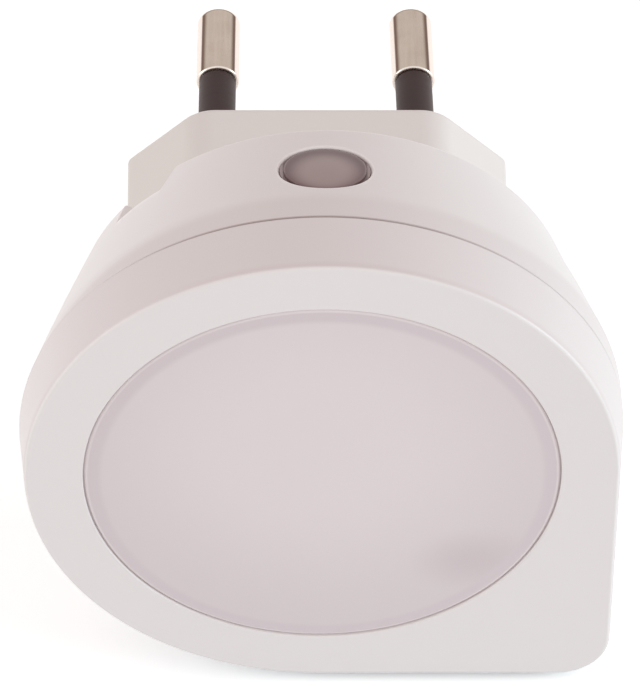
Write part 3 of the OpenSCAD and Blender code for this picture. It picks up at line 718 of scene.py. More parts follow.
def makeLens(c):
    flatRadius, inside, lip = c["radius"] - c["edgeRound"], c["radius"] - c["wall"], c["lipRadius"]

    def crownAt(radius, share, edge):
        return radius * share, edge + c["crown"] * (1 - share ** 2)

    shares = [k / c["rings"] for k in range(c["rings"] + 1)]
    profile = [crownAt(flatRadius, share, c["edgeDepth"]) for share in shares]
    for k in range(1, c["edgeSteps"] + 1):
        turn = math.radians(90 * k / c["edgeSteps"])
        profile.append((flatRadius + c["edgeRound"] * math.sin(turn),
                        c["edgeDepth"] - c["edgeRound"] * (1 - math.cos(turn))))
    profile += [(c["radius"], c["shelf"][1] + 0.01), c["shelf"], (c["shelf"][0], c["lipFront"]),
                (lip, c["lipFront"]), (lip, c["lipBack"]), (inside, c["lipBack"])]
    profile += [crownAt(inside, share, c["edgeDepth"] - c["wall"]) for share in reversed(shares)]
    return toPiece("diffuserLens", *lathe(profile, c["columns"]), makeLensMaterial(c))


def makeLensMaterial(c):
    # painted shade: darker towards the outside, in a patch at the lower right and in a band inside the
    # edge; the bevel at the very edge keeps the plain tone
    g = pieceFinish("opalLens")
    skin = g.skin(c["tone"], faded(c["tone"], 0.97), 0.6, 14.0, 0.1, (0.3, 0.36))
    shaded = g.mix(g.radial(c["outerCentre"], *c["outerRun"]), skin["Color"], c["outerShadeTone"])
    tinted = g.mix(g.radial(c["blobCentre"], 0.1, 1.0, c["blobSize"]), c["blobShadeTone"], shaded)
    banded = g.mix(g.radial((0, 0), *c["rimShadeAndHighlightRun"]), tinted, c["rimShadeAndHighlightTone"])
    return g.wear(skin, g.mix(g.radial((0, 0), *c["bevelRun"]), banded, c["tone"]), 0.002)


diffuserLens = makeLens(lens)
place(diffuserLens, "lens_opal", "diffuser_lens")


# rear housing

housing = {
    "rimDepth": 19.0,
    "creaseDepth": 31.9,
    "seamDepth": 34.5,
    "rimRadius": 22.0,
    "creaseRadius": 26.3,
    "seamRadius": 26.6,
    "cornerCentre": 21.6,
    "cornerRun": (126, 144, 30),
    "trimRim": 26.0,
    "trimCrease": 36.0,
    "trimBlend": 1.2,
    "wall": 1.8,
    "rimEdge": 0.3,
    "skirtEdge": 0.22,
    "seamEdge": 0.12,
    "hold": 0.08,
    "recessDepth": 19.6,
    "rearInside": 21.2,
    "floorRings": (19.0, 18.4),  # radius of the extra ring on the rear wall's outside and inside
    "rimRow": 20.4,
    "notchAngle": -44.6,
    "notchDepth": 3.4,
    "notchFoot": 5.6,
    "notchShoulder": 7.8,
    "leftSink": 0.7,
    "leftSinkEnd": 50,
    "pocketHalf": 8.2,
    "pocketSide": (-0.02, 0.13),
    "pocketIn": 16.5,
    "pocketDepth": 24.6,
    "pocketWall": 1.1,
    "slotHalfWidth": 17.79,
    "slotHalfHeight": 6.95,
    "bandWidths": ((0, 2.6), (15, 2.6), (26, 2.3), (35, 2.0), (45, 1.5), (55, 0.7), (66, 0.25),
                   (90, 0.25)),
    "creaseSoft": 0.45,
    "sensorDepth": 26.2,
    "sensorRadius": 4.03,
    "sensorEdge": 0.22,
    "sensorRun": (21.8, 30.9, 10),
    "sensorHalfAngle": 13.5,
    "grooveRadius": 25.4,
    "grooveDepths": (32.15, 33.15),
    "screwAt": (20.6, -20.6),
    "wellRadius": 2.2,
    "wellWall": 1.1,
    "wellFloor": 27.0,
    "screwHole": 1.2,
    "wellDepths": (19.9, 24.0, 28.0, 31.9, 34.45),
    "postAngles": (62, 165, 250),
    "postAt": 18.0,
    "post": (2.0, 0.85, 21.15, 25.4),  # outer and inner radius, and depths of the ends
    "peg": (2.2, 0.85, 21.15, 22.65),
    "pegAt": 10.8,
    "rimShift": 0.45,
    "sideSwell": ((19, 0), (23, 0.08), (26, 0.28), (31.9, 0.36), (34.5, 0.12)),
    "swellRun": (25, 65, 95, 130),
    # painted shade on the band and in the parting line, and a painted highlight along the rear edge and
    # round the sensor hole
    "bandRun": (-1.2, 0.6),
    "rimShadeAndHighlightRun": (0.15, 0.4),
    "holeRun": (0.23, 0.35),
    "holeHighlight": 0.6,
    "seamRun": (34.3, 34.42),
    "rimShadeAndHighlightTone": (0.98, 0.95, 0.94),
}
taperSlope = ((housing["creaseRadius"] - housing["rimRadius"])
              / (housing["creaseDepth"] - housing["rimDepth"]))
taperTilt = math.atan(taperSlope)


def bandWidth(angle):
    # the straight band is wide at the top and bottom and runs out at the left
    if math.sin(angle) > 0:
        return housing["bandWidths"][0][1]
    return fromTable(housing["bandWidths"], abs((math.degrees(angle) + 90) % 180 - 90))


def rimShift(depth):
    # the rear edge stands a little to the right of the cover
    h = housing
    left = min(1, max(0, (h["seamDepth"] - depth) / (h["seamDepth"] - h["rimDepth"])))
    return h["rimShift"] * left * left


def shifted(point):
    radius = math.hypot(point.x, point.z) / mm
    return point + Vector((rimShift(-point.y / mm) * smoothStep(radius, 18, 20), 0, 0)) * mm


def sideSwell(angle, depth, inset):
    # the right side is a little fuller than the left
    clockwise = (math.degrees(angle) + 180) % 360 - 180
    begin, full, fade, end = housing["swellRun"]
    share = smoothStep(clockwise, begin, full) * (1 - smoothStep(clockwise, fade, end))
    if not share:
        return 0
    return share * fromTable(housing["sideSwell"], depth) * max(0, 1 - inset / housing["wall"])


def housingRadius(angle, depth, inset, band=None):
    h = housing
    crease = h["creaseDepth"] if band is None else h["seamDepth"] - band
    draft = (h["seamRadius"] - h["creaseRadius"]) / (h["seamDepth"] - h["creaseDepth"])
    creaseRadius = h["seamRadius"] - draft * (h["seamDepth"] - crease)
    if depth <= crease:
        t = (depth - h["rimDepth"]) / (crease - h["rimDepth"])
        radius = h["rimRadius"] + t * (creaseRadius - h["rimRadius"])
        trim = h["trimRim"] + t * (h["trimCrease"] - h["trimRim"])
    else:
        radius = creaseRadius + draft * (depth - crease)
        trim = h["trimCrease"] + (depth - crease) / (h["seamDepth"] - h["creaseDepth"])
    reach = squareCornered(angle, radius - inset, h["cornerCentre"] - inset)
    return softMin(reach, trim - inset, h["trimBlend"]) + sideSwell(angle, depth, inset)


def fromNotch(angle):
    return (math.degrees(angle) - housing["notchAngle"] + 180) % 360 - 180


def inPocket(angle):
    return abs(fromNotch(angle)) <= housing["pocketHalf"]


def notchDrop(angle):
    # rounded at the shoulder towards the top, and square at the other
    h = housing
    offset = fromNotch(angle)
    if offset >= 0:
        return h["notchDepth"] * (1 - smoothStep(offset, h["notchFoot"], h["notchShoulder"]))
    if inPocket(angle):
        return h["notchDepth"]
    return h["leftSink"] * (1 - smoothStep(-offset, h["pocketHalf"], h["leftSinkEnd"]))


# each station gives the radius and the depth of a ring, angle by angle

def skinStation(depth, inset=0):
    # near the notch it sinks with the edge, less and less towards the crease
    h = housing
    hold = min(1, max(0, (h["creaseDepth"] - depth) / (h["creaseDepth"] - h["rimDepth"])))

    def at(angle):
        sunk = depth + notchDrop(angle) * hold
        return housingRadius(angle, sunk, inset, bandWidth(angle)), sunk
    return at


def creaseStation(side, inset=0):
    # on the crease, or just in front of it or behind it
    def at(angle):
        band, soft = bandWidth(angle), housing["creaseSoft"]
        if side > 0:
            soft = min(soft, 0.4 * band)
        depth = housing["seamDepth"] - band + side * soft
        return housingRadius(angle, depth, inset, band), depth
    return at


def innerSkin(depth, pocketDepth=None):
    def at(angle):
        real = pocketDepth if pocketDepth and inPocket(angle) else depth
        return housingRadius(angle, real, housing["wall"]), real
    return at


def grooveStation(depth):
    # the groove that the snap hooks catch in
    def at(angle):
        return max(housingRadius(angle, depth, housing["wall"]), housing["grooveRadius"]), depth
    return at


def floorStation(radiusAt, depth, pocketDepth=None):
    def at(angle):
        return radiusAt(angle), pocketDepth if pocketDepth and inPocket(angle) else depth
    return at


def pocketRadius(offset, elsewhere):
    def at(angle):
        if not inPocket(angle):
            return elsewhere
        return (housing["pocketIn"] - offset) / math.cos(math.radians(fromNotch(angle)))
    return at


def slotRadius(angle):
    # six-sided hole for the plug block, as a distance from the middle
    across, up = abs(math.sin(angle)), abs(math.cos(angle))
    return min(housing["slotHalfWidth"] / (across + up), housing["slotHalfHeight"] / max(up, 1e-6))


def makeHousing(h):
    low, high, steps = h["sensorRun"]
    rows = [high + (low - high) * k / steps for k in range(steps + 1)]
    seam, rim, wall, edge, hold = h["seamDepth"], h["rimDepth"], h["wall"], h["rimEdge"], h["hold"]
    stations = [skinStation(seam, wall), skinStation(seam, h["seamEdge"] + 0.06)]
    stations += [skinStation(seam - back, inset)
                 for inset, back in quarterTurn(h["seamEdge"], 0, 30, 60, 90)]
    stations += [skinStation(seam - h["seamEdge"] - 0.02), creaseStation(1), creaseStation(0, 0.03),
                 creaseStation(-1)]
    outerRows = [len(stations), len(stations) + steps]
    stations += [skinStation(depth) for depth in rows]
    stations += [skinStation(h["rimRow"]), skinStation(rim + edge + hold)]
    stations += [skinStation(rim + fore, inset)
                 for fore, inset in quarterTurn(edge, 0, 18, 36, 54, 72, 90)]
    stations += [skinStation(rim, edge + hold), skinStation(rim, wall - 0.3)]
    stations += [skinStation(rim + fore, wall - inset)
                 for inset, fore in quarterTurn(h["skirtEdge"], 0, 30, 60, 90)]
    # the rear wall: skirt foot, pocket, edge of the plug's slot, and back along the inside
    recess, inside, pocket = h["recessDepth"], h["rearInside"], h["pocketDepth"]
    pocketBack, pocketWall = pocket + h["pocketWall"], h["pocketWall"]
    outside, within = h["floorRings"]
    stations += [
        innerSkin(recess, pocket),
        floorStation(pocketRadius(0, outside), recess, pocket),
        floorStation(pocketRadius(0.02, outside - 0.05), recess),
        floorStation(slotRadius, recess),
        floorStation(slotRadius, inside),
        floorStation(pocketRadius(pocketWall, within), inside),
        floorStation(pocketRadius(pocketWall - 0.02, within + 0.05), inside, pocketBack),
        innerSkin(inside, pocketBack),
    ]
    innerRows = [len(stations), len(stations) + steps]
    notchSafe = pocketBack + 0.1
    stations += [innerSkin(depth, max(depth, notchSafe + 0.01 * depth)) for depth in reversed(rows)]
    grooveLow, grooveHigh = h["grooveDepths"]
    stations += [innerSkin(h["creaseDepth"]), innerSkin(grooveLow - 0.05), grooveStation(grooveLow),
                 grooveStation(grooveHigh), innerSkin(grooveHigh + 0.05)]

    notchRun = (h["notchAngle"] + h["notchFoot"], h["notchAngle"] + h["notchShoulder"], 14)
    slotCorner = math.degrees(math.atan2(h["slotHalfWidth"] - h["slotHalfHeight"], h["slotHalfHeight"]))
    exact = [-90, 90, slotCorner, -slotCorner, 180 - slotCorner, slotCorner - 180,
             -h["sensorHalfAngle"], h["sensorHalfAngle"]]
    exact += [h["notchAngle"] + side * (h["pocketHalf"] + step)
              for side in (-1, 1) for step in h["pocketSide"]]
    angles = spacedAngles(1.5, [h["cornerRun"], notchRun], tuple(exact))
    columns = len(angles)
    points = [shifted(polar(angle, *station(angle))) for station in stations for angle in angles]

    limit = math.radians(h["sensorHalfAngle"]) + 1e-6
    inRun = [k for k, a in enumerate(angles) if -limit <= a <= limit]
    first, last = inRun[0], inRun[-1]

    def inGap(ring, column):
        inRows = outerRows[0] <= ring < outerRows[1] or innerRows[0] <= ring < innerRows[1]
        return inRows and first <= column < last

    faces = loftFaces(len(stations), columns, True, inGap)
    outerLoop = gapLoop(*outerRows, first, last, columns)
    innerLoop = gapLoop(*reversed(innerRows), first, last, columns)
    patchSensorHole(h, points, faces, outerLoop, innerLoop)
    parts = [(points, faces)]
    parts += [tube(aroundFace(angle, h["postAt"]), *h["post"], 32) for angle in h["postAngles"]]
    parts += [tube((0, side * h["pegAt"]), *h["peg"], 32) for side in (-1, 1)]
    return toPiece("rearHousing", *joined(parts),
                   outerMoulding("housingPlastic", h["rimShadeAndHighlightTone"], h["seamRun"]))


def gapLoop(topRow, bottomRow, first, last, columns):
    # the grid points round the sensor's gap, in order
    step = 1 if bottomRow > topRow else -1
    loop = [topRow * columns + c for c in range(first, last)]
    loop += [r * columns + last for r in range(topRow, bottomRow, step)]
    loop += [bottomRow * columns + c for c in range(last, first, -1)]
    loop += [r * columns + first for r in range(bottomRow, topRow, -step)]
    return loop


def offTaper(across, along, out):
    # frame of the sensor: across, along the taper and out of it
    centreUp = housing["rimRadius"] + (housing["sensorDepth"] - housing["rimDepth"]) * taperSlope
    return (across + rimShift(housing["sensorDepth"]),
            housing["sensorDepth"] + along * math.cos(taperTilt) - out * math.sin(taperTilt),
            centreUp + along * math.sin(taperTilt) + out * math.cos(taperTilt))


def onSkin(across, along, inset):
    # the point of the outer skin over a place in the sensor's frame, or one that lies under it
    out = 0.0
    for _ in range(4):
        x, depth, up = offTaper(across, along, out)
        out += (housingRadius(0, depth, 0) - math.hypot(x - rimShift(depth), up)) * math.cos(taperTilt)
    return bench(*offTaper(across, along, out - inset))


def patchSensorHole(h, points, faces, outerLoop, innerLoop):
    flare = h["sensorEdge"]
    corners = []
    for index in outerLoop:
        across = points[index].x / mm - rimShift(h["sensorDepth"])
        along = (-points[index].y / mm - h["sensorDepth"]) / math.cos(taperTilt)
        corners.append((across, along, math.atan2(along, across)))
    previous = outerLoop

    def bridge(upper, lower):
        for k in range(len(upper)):
            beside = (k + 1) % len(upper)
            faces.append((upper[k], upper[beside], lower[beside], lower[k]))

    def towardsHole(share):
        reach = h["sensorRadius"] + flare
        return [onSkin(across + (reach * math.cos(turn) - across) * share,
                       along + (reach * math.sin(turn) - along) * share, 0)
                for across, along, turn in corners]

    def holeEdge(grow, inset):
        reach = h["sensorRadius"] + grow
        return [onSkin(reach * math.cos(turn), reach * math.sin(turn), inset) for _, _, turn in corners]

    rings = [towardsHole(share) for share in (0.35, 0.7, 0.9)]
    rings += [holeEdge(grow, inset) for grow, inset in quarterTurn(flare, 0, 20, 40, 60, 75, 90)]
    rings += [holeEdge(0, flare + 0.1), holeEdge(0, h["wall"])]
    for ring in rings:
        current = list(range(len(points), len(points) + len(ring)))
        points.extend(ring)
        bridge(previous, current)
        previous = current
    bridge(previous, innerLoop)


def addScrewWell(piece, h):
    # the corner screw's well: a boss inside the trimmed corner, bored from behind
    angles = spacedAngles(3, [(126, 144, 12)])
    depths, seamEnd = h["wellDepths"], h["wellDepths"][-1]
    points = [polar(angle, housingRadius(angle, depth, h["wall"] / 2), depth)
              for depth in depths for angle in angles]
    boss = toPiece("wellBoss", *tube(h["screwAt"], h["wellRadius"] + h["wellWall"], 0, 19.5, seamEnd),
                   piece.data.materials[0])
    cutWith(boss, (points, cappedFaces(len(depths), len(angles))), "INTERSECT")
    cutWith(piece, boss, "UNION")
    cutWith(piece, tube(h["screwAt"], h["wellRadius"], 0, 10, h["wellFloor"], 64), "DIFFERENCE")
    cutWith(piece, tube(h["screwAt"], h["screwHole"], 0, h["wellFloor"] - 1, 40, 32), "DIFFERENCE")


def markHousing(piece, h):
    def angleAt(x, depth, z):
        return math.atan2(x - rimShift(depth), z)

    # painted shade on the band in front of the crease
    def onBand(x, depth, z):
        crease = h["seamDepth"] - bandWidth(angleAt(x, depth, z))
        return smoothStep(depth - crease, *h["bandRun"])

    # painted highlight along the rear edge and, on the top, round the sensor hole
    def onRim(x, depth, z):
        fromEdge = depth - h["rimDepth"] - notchDrop(angleAt(x, depth, z))
        along = (depth - h["sensorDepth"]) / math.cos(taperTilt)
        fromHole = math.hypot(x - rimShift(h["sensorDepth"]), along) - h["sensorRadius"]
        aroundHole = h["holeHighlight"] * (1 - smoothStep(fromHole, *h["holeRun"])) if z > 0 else 0
        return max(aroundHole, 1 - smoothStep(fromEdge, *h["rimShadeAndHighlightRun"]))

    markMesh(piece.data, "band", onBand)
    markMesh(piece.data, "rim", onRim)


rearHousing = makeHousing(housing)
addScrewWell(rearHousing, housing)
markHousing(rearHousing, housing)
place(rearHousing, "housing_white", "rear_housing")


# twilight sensor window

window = {
    "halfWidth": 3.62,
    "halfHeight": 3.98,
    "domeRadius": 40.0,
    "proud": 0.06,
    "edge": 0.22,
    "shelfRadius": 3.97,
    "shelf": -0.42,
    "flangeTop": -2.31,
    "flangeBack": -3.2,
    "flangeRadius": 4.8,
    "rings": 12,
    "columns": 96,
    "tone": (0.392, 0.302, 0.292),
    # painted shade: darker towards the rim, round a middle shifted towards the cover
    "rimShadeAndHighlightTone": (0.165, 0.102, 0.102),
    "rimShadeAndHighlightRun": (0.15, 0.95),
    "shelfTone": (0.40, 0.32, 0.315),
    "shadeCentreShift": 0.85,
}


def makeWindow(c):
    # a domed oval with a round flange, built in the sensor's frame
    turns = [2 * math.pi * column / c["columns"] for column in range(c["columns"])]
    points = []
    rings = [(c["edge"], 0.0, k / c["rings"]) for k in range(c["rings"] + 1)]
    rings += [(inset, sunk, 1.0) for inset, sunk in quarterTurn(c["edge"], 18, 36, 54, 72, 90)]
    for inset, sunk, share in rings:
        for turn in turns:
            across = (c["halfWidth"] - inset) * share * math.cos(turn)
            along = (c["halfHeight"] - inset) * share * math.sin(turn)
            dome = math.sqrt(c["domeRadius"] ** 2 - across ** 2 - along ** 2)
            points.append(bench(*offTaper(across, along, c["proud"] - c["domeRadius"] + dome - sunk)))
    shelf, flange = c["shelfRadius"], c["flangeRadius"]
    tall = min(c["halfHeight"], shelf - 0.02)
    steps = ((c["halfWidth"], tall, c["shelf"]), (shelf, shelf, c["shelf"]),
             (shelf, shelf, c["flangeTop"]), (flange, flange, c["flangeTop"]),
             (flange, flange, c["flangeBack"]), (0, 0, c["flangeBack"]))
    for wide, high, out in steps:
        points += [bench(*offTaper(wide * math.cos(turn), high * math.sin(turn), out))
                   for turn in turns]
    faces = loftFaces(len(rings) + len(steps), c["columns"])
    return toPiece("sensorWindow", points, faces, makeWindowMaterial(c), 50)


def makeWindowMaterial(c):
    g = pieceFinish("smokedPlastic", 0.25)
    skin = g.skin(c["tone"], faded(c["tone"], 0.9), 0.8, 2.5, 0.08, (0.16, 0.22))
    # painted shade: the dome darkens towards its rim, round a middle shifted towards the cover
    x, y, _ = g.axes()
    fromCentre = g.calc("SUBTRACT", x, rimShift(housing["sensorDepth"]) * mm)
    across = g.calc("MULTIPLY", fromCentre, 1 / (c["halfWidth"] * mm))
    fromShadeCentre = g.calc("ADD", y, (housing["sensorDepth"] + c["shadeCentreShift"]) * mm)
    along = g.calc("MULTIPLY", fromShadeCentre, 1 / (c["halfHeight"] * mm))
    shaded = g.mix(g.ramp(g.squares(across, along), *c["rimShadeAndHighlightRun"]), skin["Color"], c["rimShadeAndHighlightTone"])
    outside = g.ramp(g.calc("ABSOLUTE", across), 1.0, 1.03)
    return g.wear(skin, g.mix(outside, shaded, c["shelfTone"]), 0.001)


sensorWindow = makeWindow(window)
place(sensorWindow, "window_smoke", "sensor_window")


# plug block

plug = {
    "halfWidth": 17.65,
    "halfHeight": 6.6,
    "faceEdge": 0.9,
    "flangeDepth": 21.25,
    "flangeEnd": 22.65,
    "flangeOver": 1.0,
    "wall": 2.0,
    "faceWall": 5.0,
    "sideRound": 0.6,
    "shoulderRound": 4.0,
    "pinHole": 1.85,
    "tone": (0.835, 0.80, 0.775),
    "shade": (0.805, 0.765, 0.74),
    # painted shade on the left slope
    "leftShadeTone": (0.755, 0.705, 0.67),
    "leftRun": (-9.5, -12),
}


def hexOutline(halfWidth, halfHeight, sideRound, shoulderRound, steps=8):
    # six-sided outline, with sides at 45 degrees and rounded corners, as (across, up) points
    flat = halfWidth - halfHeight
    corners = [(halfWidth, 0, sideRound), (flat, halfHeight, shoulderRound),
               (-flat, halfHeight, shoulderRound), (-halfWidth, 0, sideRound),
               (-flat, -halfHeight, shoulderRound), (flat, -halfHeight, shoulderRound)]
    path = roundedPath([corners[-1]] + corners + [corners[0]], steps, 0.05)[1:-1]
    outline = []
    for k, point in enumerate(path):
        following = path[(k + 1) % len(path)]
        outline.append(point)
        if (following - point).length > 4:
            outline += [point.lerp(following, s / 4) for s in (1, 2, 3)]
    return outline


def plugRing(c, inset, depth):
    grow = inset * math.sqrt(2)
    outline = hexOutline(c["halfWidth"] - grow, c["halfHeight"] - inset,
                         max(0.05, c["sideRound"] - inset), max(0.3, c["shoulderRound"] - inset))
    return [bench(x, depth, z) for x, z in outline]


def makePlugBlock(c):
    path = roundedPath([(3, 0, 0), (0, 0, c["faceEdge"]), (0, c["flangeDepth"], 0)], 5)
    stations = [(p.x, p.y) for p in path]
    stations += [(-c["flangeOver"], c["flangeDepth"]), (-c["flangeOver"], c["flangeEnd"]),
                 (c["wall"], c["flangeEnd"]), (c["wall"], c["faceWall"])]
    points = []
    for inset, depth in stations:
        points += plugRing(c, inset, depth)
    piece = toPiece("plugBlock", points, cappedFaces(len(stations), len(points) // len(stations)),
                    makeBlockMaterial(c))
    for side in (-1, 1):
        bore = onPin(side, [(0, 6), (c["pinHole"], 6), (c["pinHole"], -1), (0, -1)], 48)
        cutWith(piece, bore, "DIFFERENCE")
    return piece


def makeBlockMaterial(c):
    # painted shade: a little darker on the left slope
    g = pieceFinish("blockPlastic")
    skin = g.skin(c["tone"], c["shade"], 0.5, 14.0, 0.16, (0.42, 0.55))
    return g.wear(skin, g.mix(g.run(g.axes()[0], c["leftRun"]), skin["Color"], c["leftShadeTone"]), 0.005)


# pins and sleeves

pins = {
    "pitch": 18.6,
    "tipPitch": 18.0,
    "reach": 18.35,
    "tipLength": 8.35,
    "tipRadius": 2.0,
    "tipRound": 0.6,
    "collarEdge": 0.16,
    "coreRadius": 1.3,
    "shoulder": (2.7, 5.1, 6.5),  # radius, front and back
    "tail": (1.1, 10.6, 13.1),
    "sleeveRadius": 1.72,
    "sleeveEnd": 4.95,
    "tone": (0.60, 0.50, 0.425),
    "stain": (0.24, 0.17, 0.125),
    # painted dark reflection before the edge, painted highlight along the edge and the collar
    "edgeDarkReflection": (0.15, 0.085, 0.06),
    "edgeHighlight": (0.86, 0.77, 0.70),
    "facings": (0.42, 0.52, 0.555, 0.60),
    "collarHighlightRun": (10.22, 10.08),
    "sleeveTone": (0.052, 0.029, 0.026),
    "sleeveShade": (0.036, 0.021, 0.019),
}


def onPin(side, profile, columns=64):
    # (radius, depth) profile spun about a pin's own leaning axis
    lean = math.asin((pins["pitch"] - pins["tipPitch"]) / 2 / pins["reach"]) * side
    points = []
    for radius, depth in profile:
        for column in range(columns):
            turn = 2 * math.pi * column / columns
            x, z = radius * math.sin(turn), radius * math.cos(turn)
            points.append(bench(side * pins["pitch"] / 2 + x * math.cos(lean) + depth * math.sin(lean),
                                depth * math.cos(lean) - x * math.sin(lean), z))
    return points, loftFaces(len(profile), columns)


def makePin(side, name, material):
    c = pins
    end, collar, tip, core = -c["reach"], -c["reach"] + c["tipLength"], c["tipRadius"], c["coreRadius"]
    tipPath = [(0.3, end, 0), (tip, end, c["tipRound"]), (tip, collar, c["collarEdge"]),
               (core, collar, 0)]
    profile = [(0, end)] + [(p.x, p.y) for p in roundedPath(tipPath, 8)]
    for radius, low, high in (c["shoulder"], c["tail"]):
        profile += [(core, low), (radius, low), (radius, high), (core, high)]
    profile[-1] = (0, c["tail"][2])
    return toPiece(name, *onPin(side, profile), material)


def makeSleeve(side, name, material):
    low, high = -pins["reach"] + pins["tipLength"] + 0.05, pins["sleeveEnd"]
    inner, outer = pins["coreRadius"] + 0.05, pins["sleeveRadius"]
    corners = [(inner, low, 0), (outer, low, 0.1), (outer, high, 0), (inner, high, 0), (inner, low, 0)]
    return toPiece(name, *onPin(side, [(p.x, p.y) for p in roundedPath(corners, 3)]), material)


def makePinMetal(c):
    # drawn metal with a painted dark reflection in a line before its edge and a painted highlight along
    # the edge and the collar
    g = pieceFinish("pinNickel", metallic=1.0)
    metal = g.metal(c["tone"], c["stain"], (1, 0.05, 1), 0.5, (0.2, 0.34))
    facing = g.add("ShaderNodeLayerWeight", {"Blend": 0.5}).outputs["Facing"]
    first, second, third, last = c["facings"]
    lined = g.mix(g.ramp(facing, first, second), metal["Color"], c["edgeDarkReflection"])
    bright = g.calc("MAXIMUM", g.ramp(facing, third, last), g.run(g.axes()[1], c["collarHighlightRun"]))
    return g.wear(metal, g.mix(bright, lined, c["edgeHighlight"]), 0.002)


plugBlock = makePlugBlock(plug)
place(plugBlock, "block_white", "plug_block")
nickel = makePinMetal(pins)
sleevePlastic = moulding("sleevePlastic", pins["sleeveTone"], pins["sleeveShade"], 0.7, 4, 0.16,
                         (0.4, 0.55), relief=0.012, specular=0.3, stretch=(0.06, 1, 0.06))
for side, word in ((-1, "left"), (1, "right")):
    place(makePin(side, word + "Pin", nickel), "pin_nickel", "pin_" + word)
    place(makeSleeve(side, word + "Sleeve", sleevePlastic), "sleeve_dark", "sleeve_" + word)


# small parts that repeat, set out by geometry nodes

fasteners = {
    "recess": 0.64,
    "crown": 0.45,
    "crownShares": (0.25, 0.5, 0.7, 0.85, 0.95),
    "edge": 0.06,
    "threadPitch": 0.5,
    "threadDepth": 0.13,
    "threadStart": 0.35,
    "neck": 0.3,
    "plainEnd": 1.0,
    "point": 0.2,
    "spin": 1.2,
    "tone": (0.62, 0.62, 0.60),
    "stain": (0.42, 0.42, 0.41),
    "sets": [  # piece, CAD node, shank and head radius, head height, length, seat depth, way, places
        ("retainerScrews", "retainer_screws", 0.8, 1.5, 1.0, 2.45, 23.75, -1,
         ((0, 10.8), (180, 10.8))),
        ("boardScrews", "board_screws", 0.8, 1.5, 1.0, 4.8, 26.7, -1,
         ((62, 18.0), (165, 18.0), (250, 18.0))),
        ("trayScrews", "tray_screws", 0.8, 1.5, 1.0, 2.3, 35.55, 1,
         ((30, 23.25), (150, 23.25), (270, 23.25))),
        ("cornerScrew", "corner_screw", 1.1, 1.9, 1.6, 10.9, 26.95, 1, ((135, 29.1328),)),
    ],
}
lights = {
    "count": 6,
    "ring": 9.5,
    "back": 33.8,
    "side": 5.0,
    "height": 1.5,
    "step": 0.2,
    "bevel": 0.12,
    "cornerRound": 0.25,
    "lensShare": 0.4,
    "caseTone": (0.86, 0.85, 0.80),
    "lensTone": (0.86, 0.66, 0.16),
}
chips = {
    "places": ((14.5, 3.0), (14.5, 0.5), (-1.0, -9.5)),
    "back": 26.7,
    "size": (2.0, 0.5, 1.2),
    "cap": 0.35,
    "lip": 0.03,
    "tone": (0.020, 0.020, 0.022),
    "shade": (0.032, 0.032, 0.034),
}


def makeSetOutTree():
    # puts a copy of the part on every point, turned by the point's own angle and a little at random
    tree = bpy.data.node_groups.new("setOutParts", "GeometryNodeTree")
    for label, kind in (("Geometry", "Geometry"), ("Part", "Object"), ("Spin", "Float"),
                        ("Seed", "Int"), ("Finish", "Material")):
        tree.interface.new_socket(label, in_out="INPUT", socket_type="NodeSocket" + kind)
    tree.interface.new_socket("Geometry", in_out="OUTPUT", socket_type="NodeSocketGeometry")
    g = nodeTree(tree)
    given = g.add("NodeGroupInput", {}).outputs
    part = g.add("GeometryNodeObjectInfo", {"Object": given["Part"]}).outputs["Geometry"]
    mark = g.add("GeometryNodeInputNamedAttribute", {"Name": "turn"}, data_type="FLOAT")
    chance = g.add("FunctionNodeRandomValue", {2: 0.0, 3: given["Spin"], "Seed": given["Seed"]},
                   data_type="FLOAT").outputs[1]
    total = g.calc("ADD", mark.outputs["Attribute"], chance)
    euler = g.add("ShaderNodeCombineXYZ", {"Y": total}).outputs[0]
    rotation = g.add("FunctionNodeEulerToRotation", {0: euler}).outputs[0]
    copies = g.add("GeometryNodeInstanceOnPoints",
                   {"Points": given["Geometry"], "Instance": part, "Rotation": rotation})
    solid = g.add("GeometryNodeRealizeInstances", {"Geometry": copies.outputs["Instances"]})
    worn = g.add("GeometryNodeSetMaterial",
                 {"Geometry": solid.outputs["Geometry"], "Material": given["Finish"]})
    g.add("NodeGroupOutput", {"Geometry": worn.outputs["Geometry"]})
    return tree


def setOut(name, part, places, turns, material, spin=0.0, seed=1):
    points = bpy.data.meshes.new(name + "Points")
    points.from_pydata([tuple(p) for p in places], [], [])
    angles = points.attributes.new("turn", "FLOAT", "POINT")
    for k, turn in enumerate(turns):
        angles.data[k].value = turn
    holder = addObject(name, points)
    modifier = holder.modifiers.new("setOut", "NODES")
    modifier.node_group = setOutTree
    values = {"Part": part, "Spin": spin, "Seed": seed, "Finish": material}
    for socket in setOutTree.interface.items_tree:
        if socket.in_out == "INPUT" and socket.name in values:
            modifier[socket.identifier] = values[socket.name]
    bpy.context.view_layer.update()
    solid = settledMesh(holder)
    bpy.data.objects.remove(part)
    if not solid.materials:
        solid.materials.append(material)
    return holder


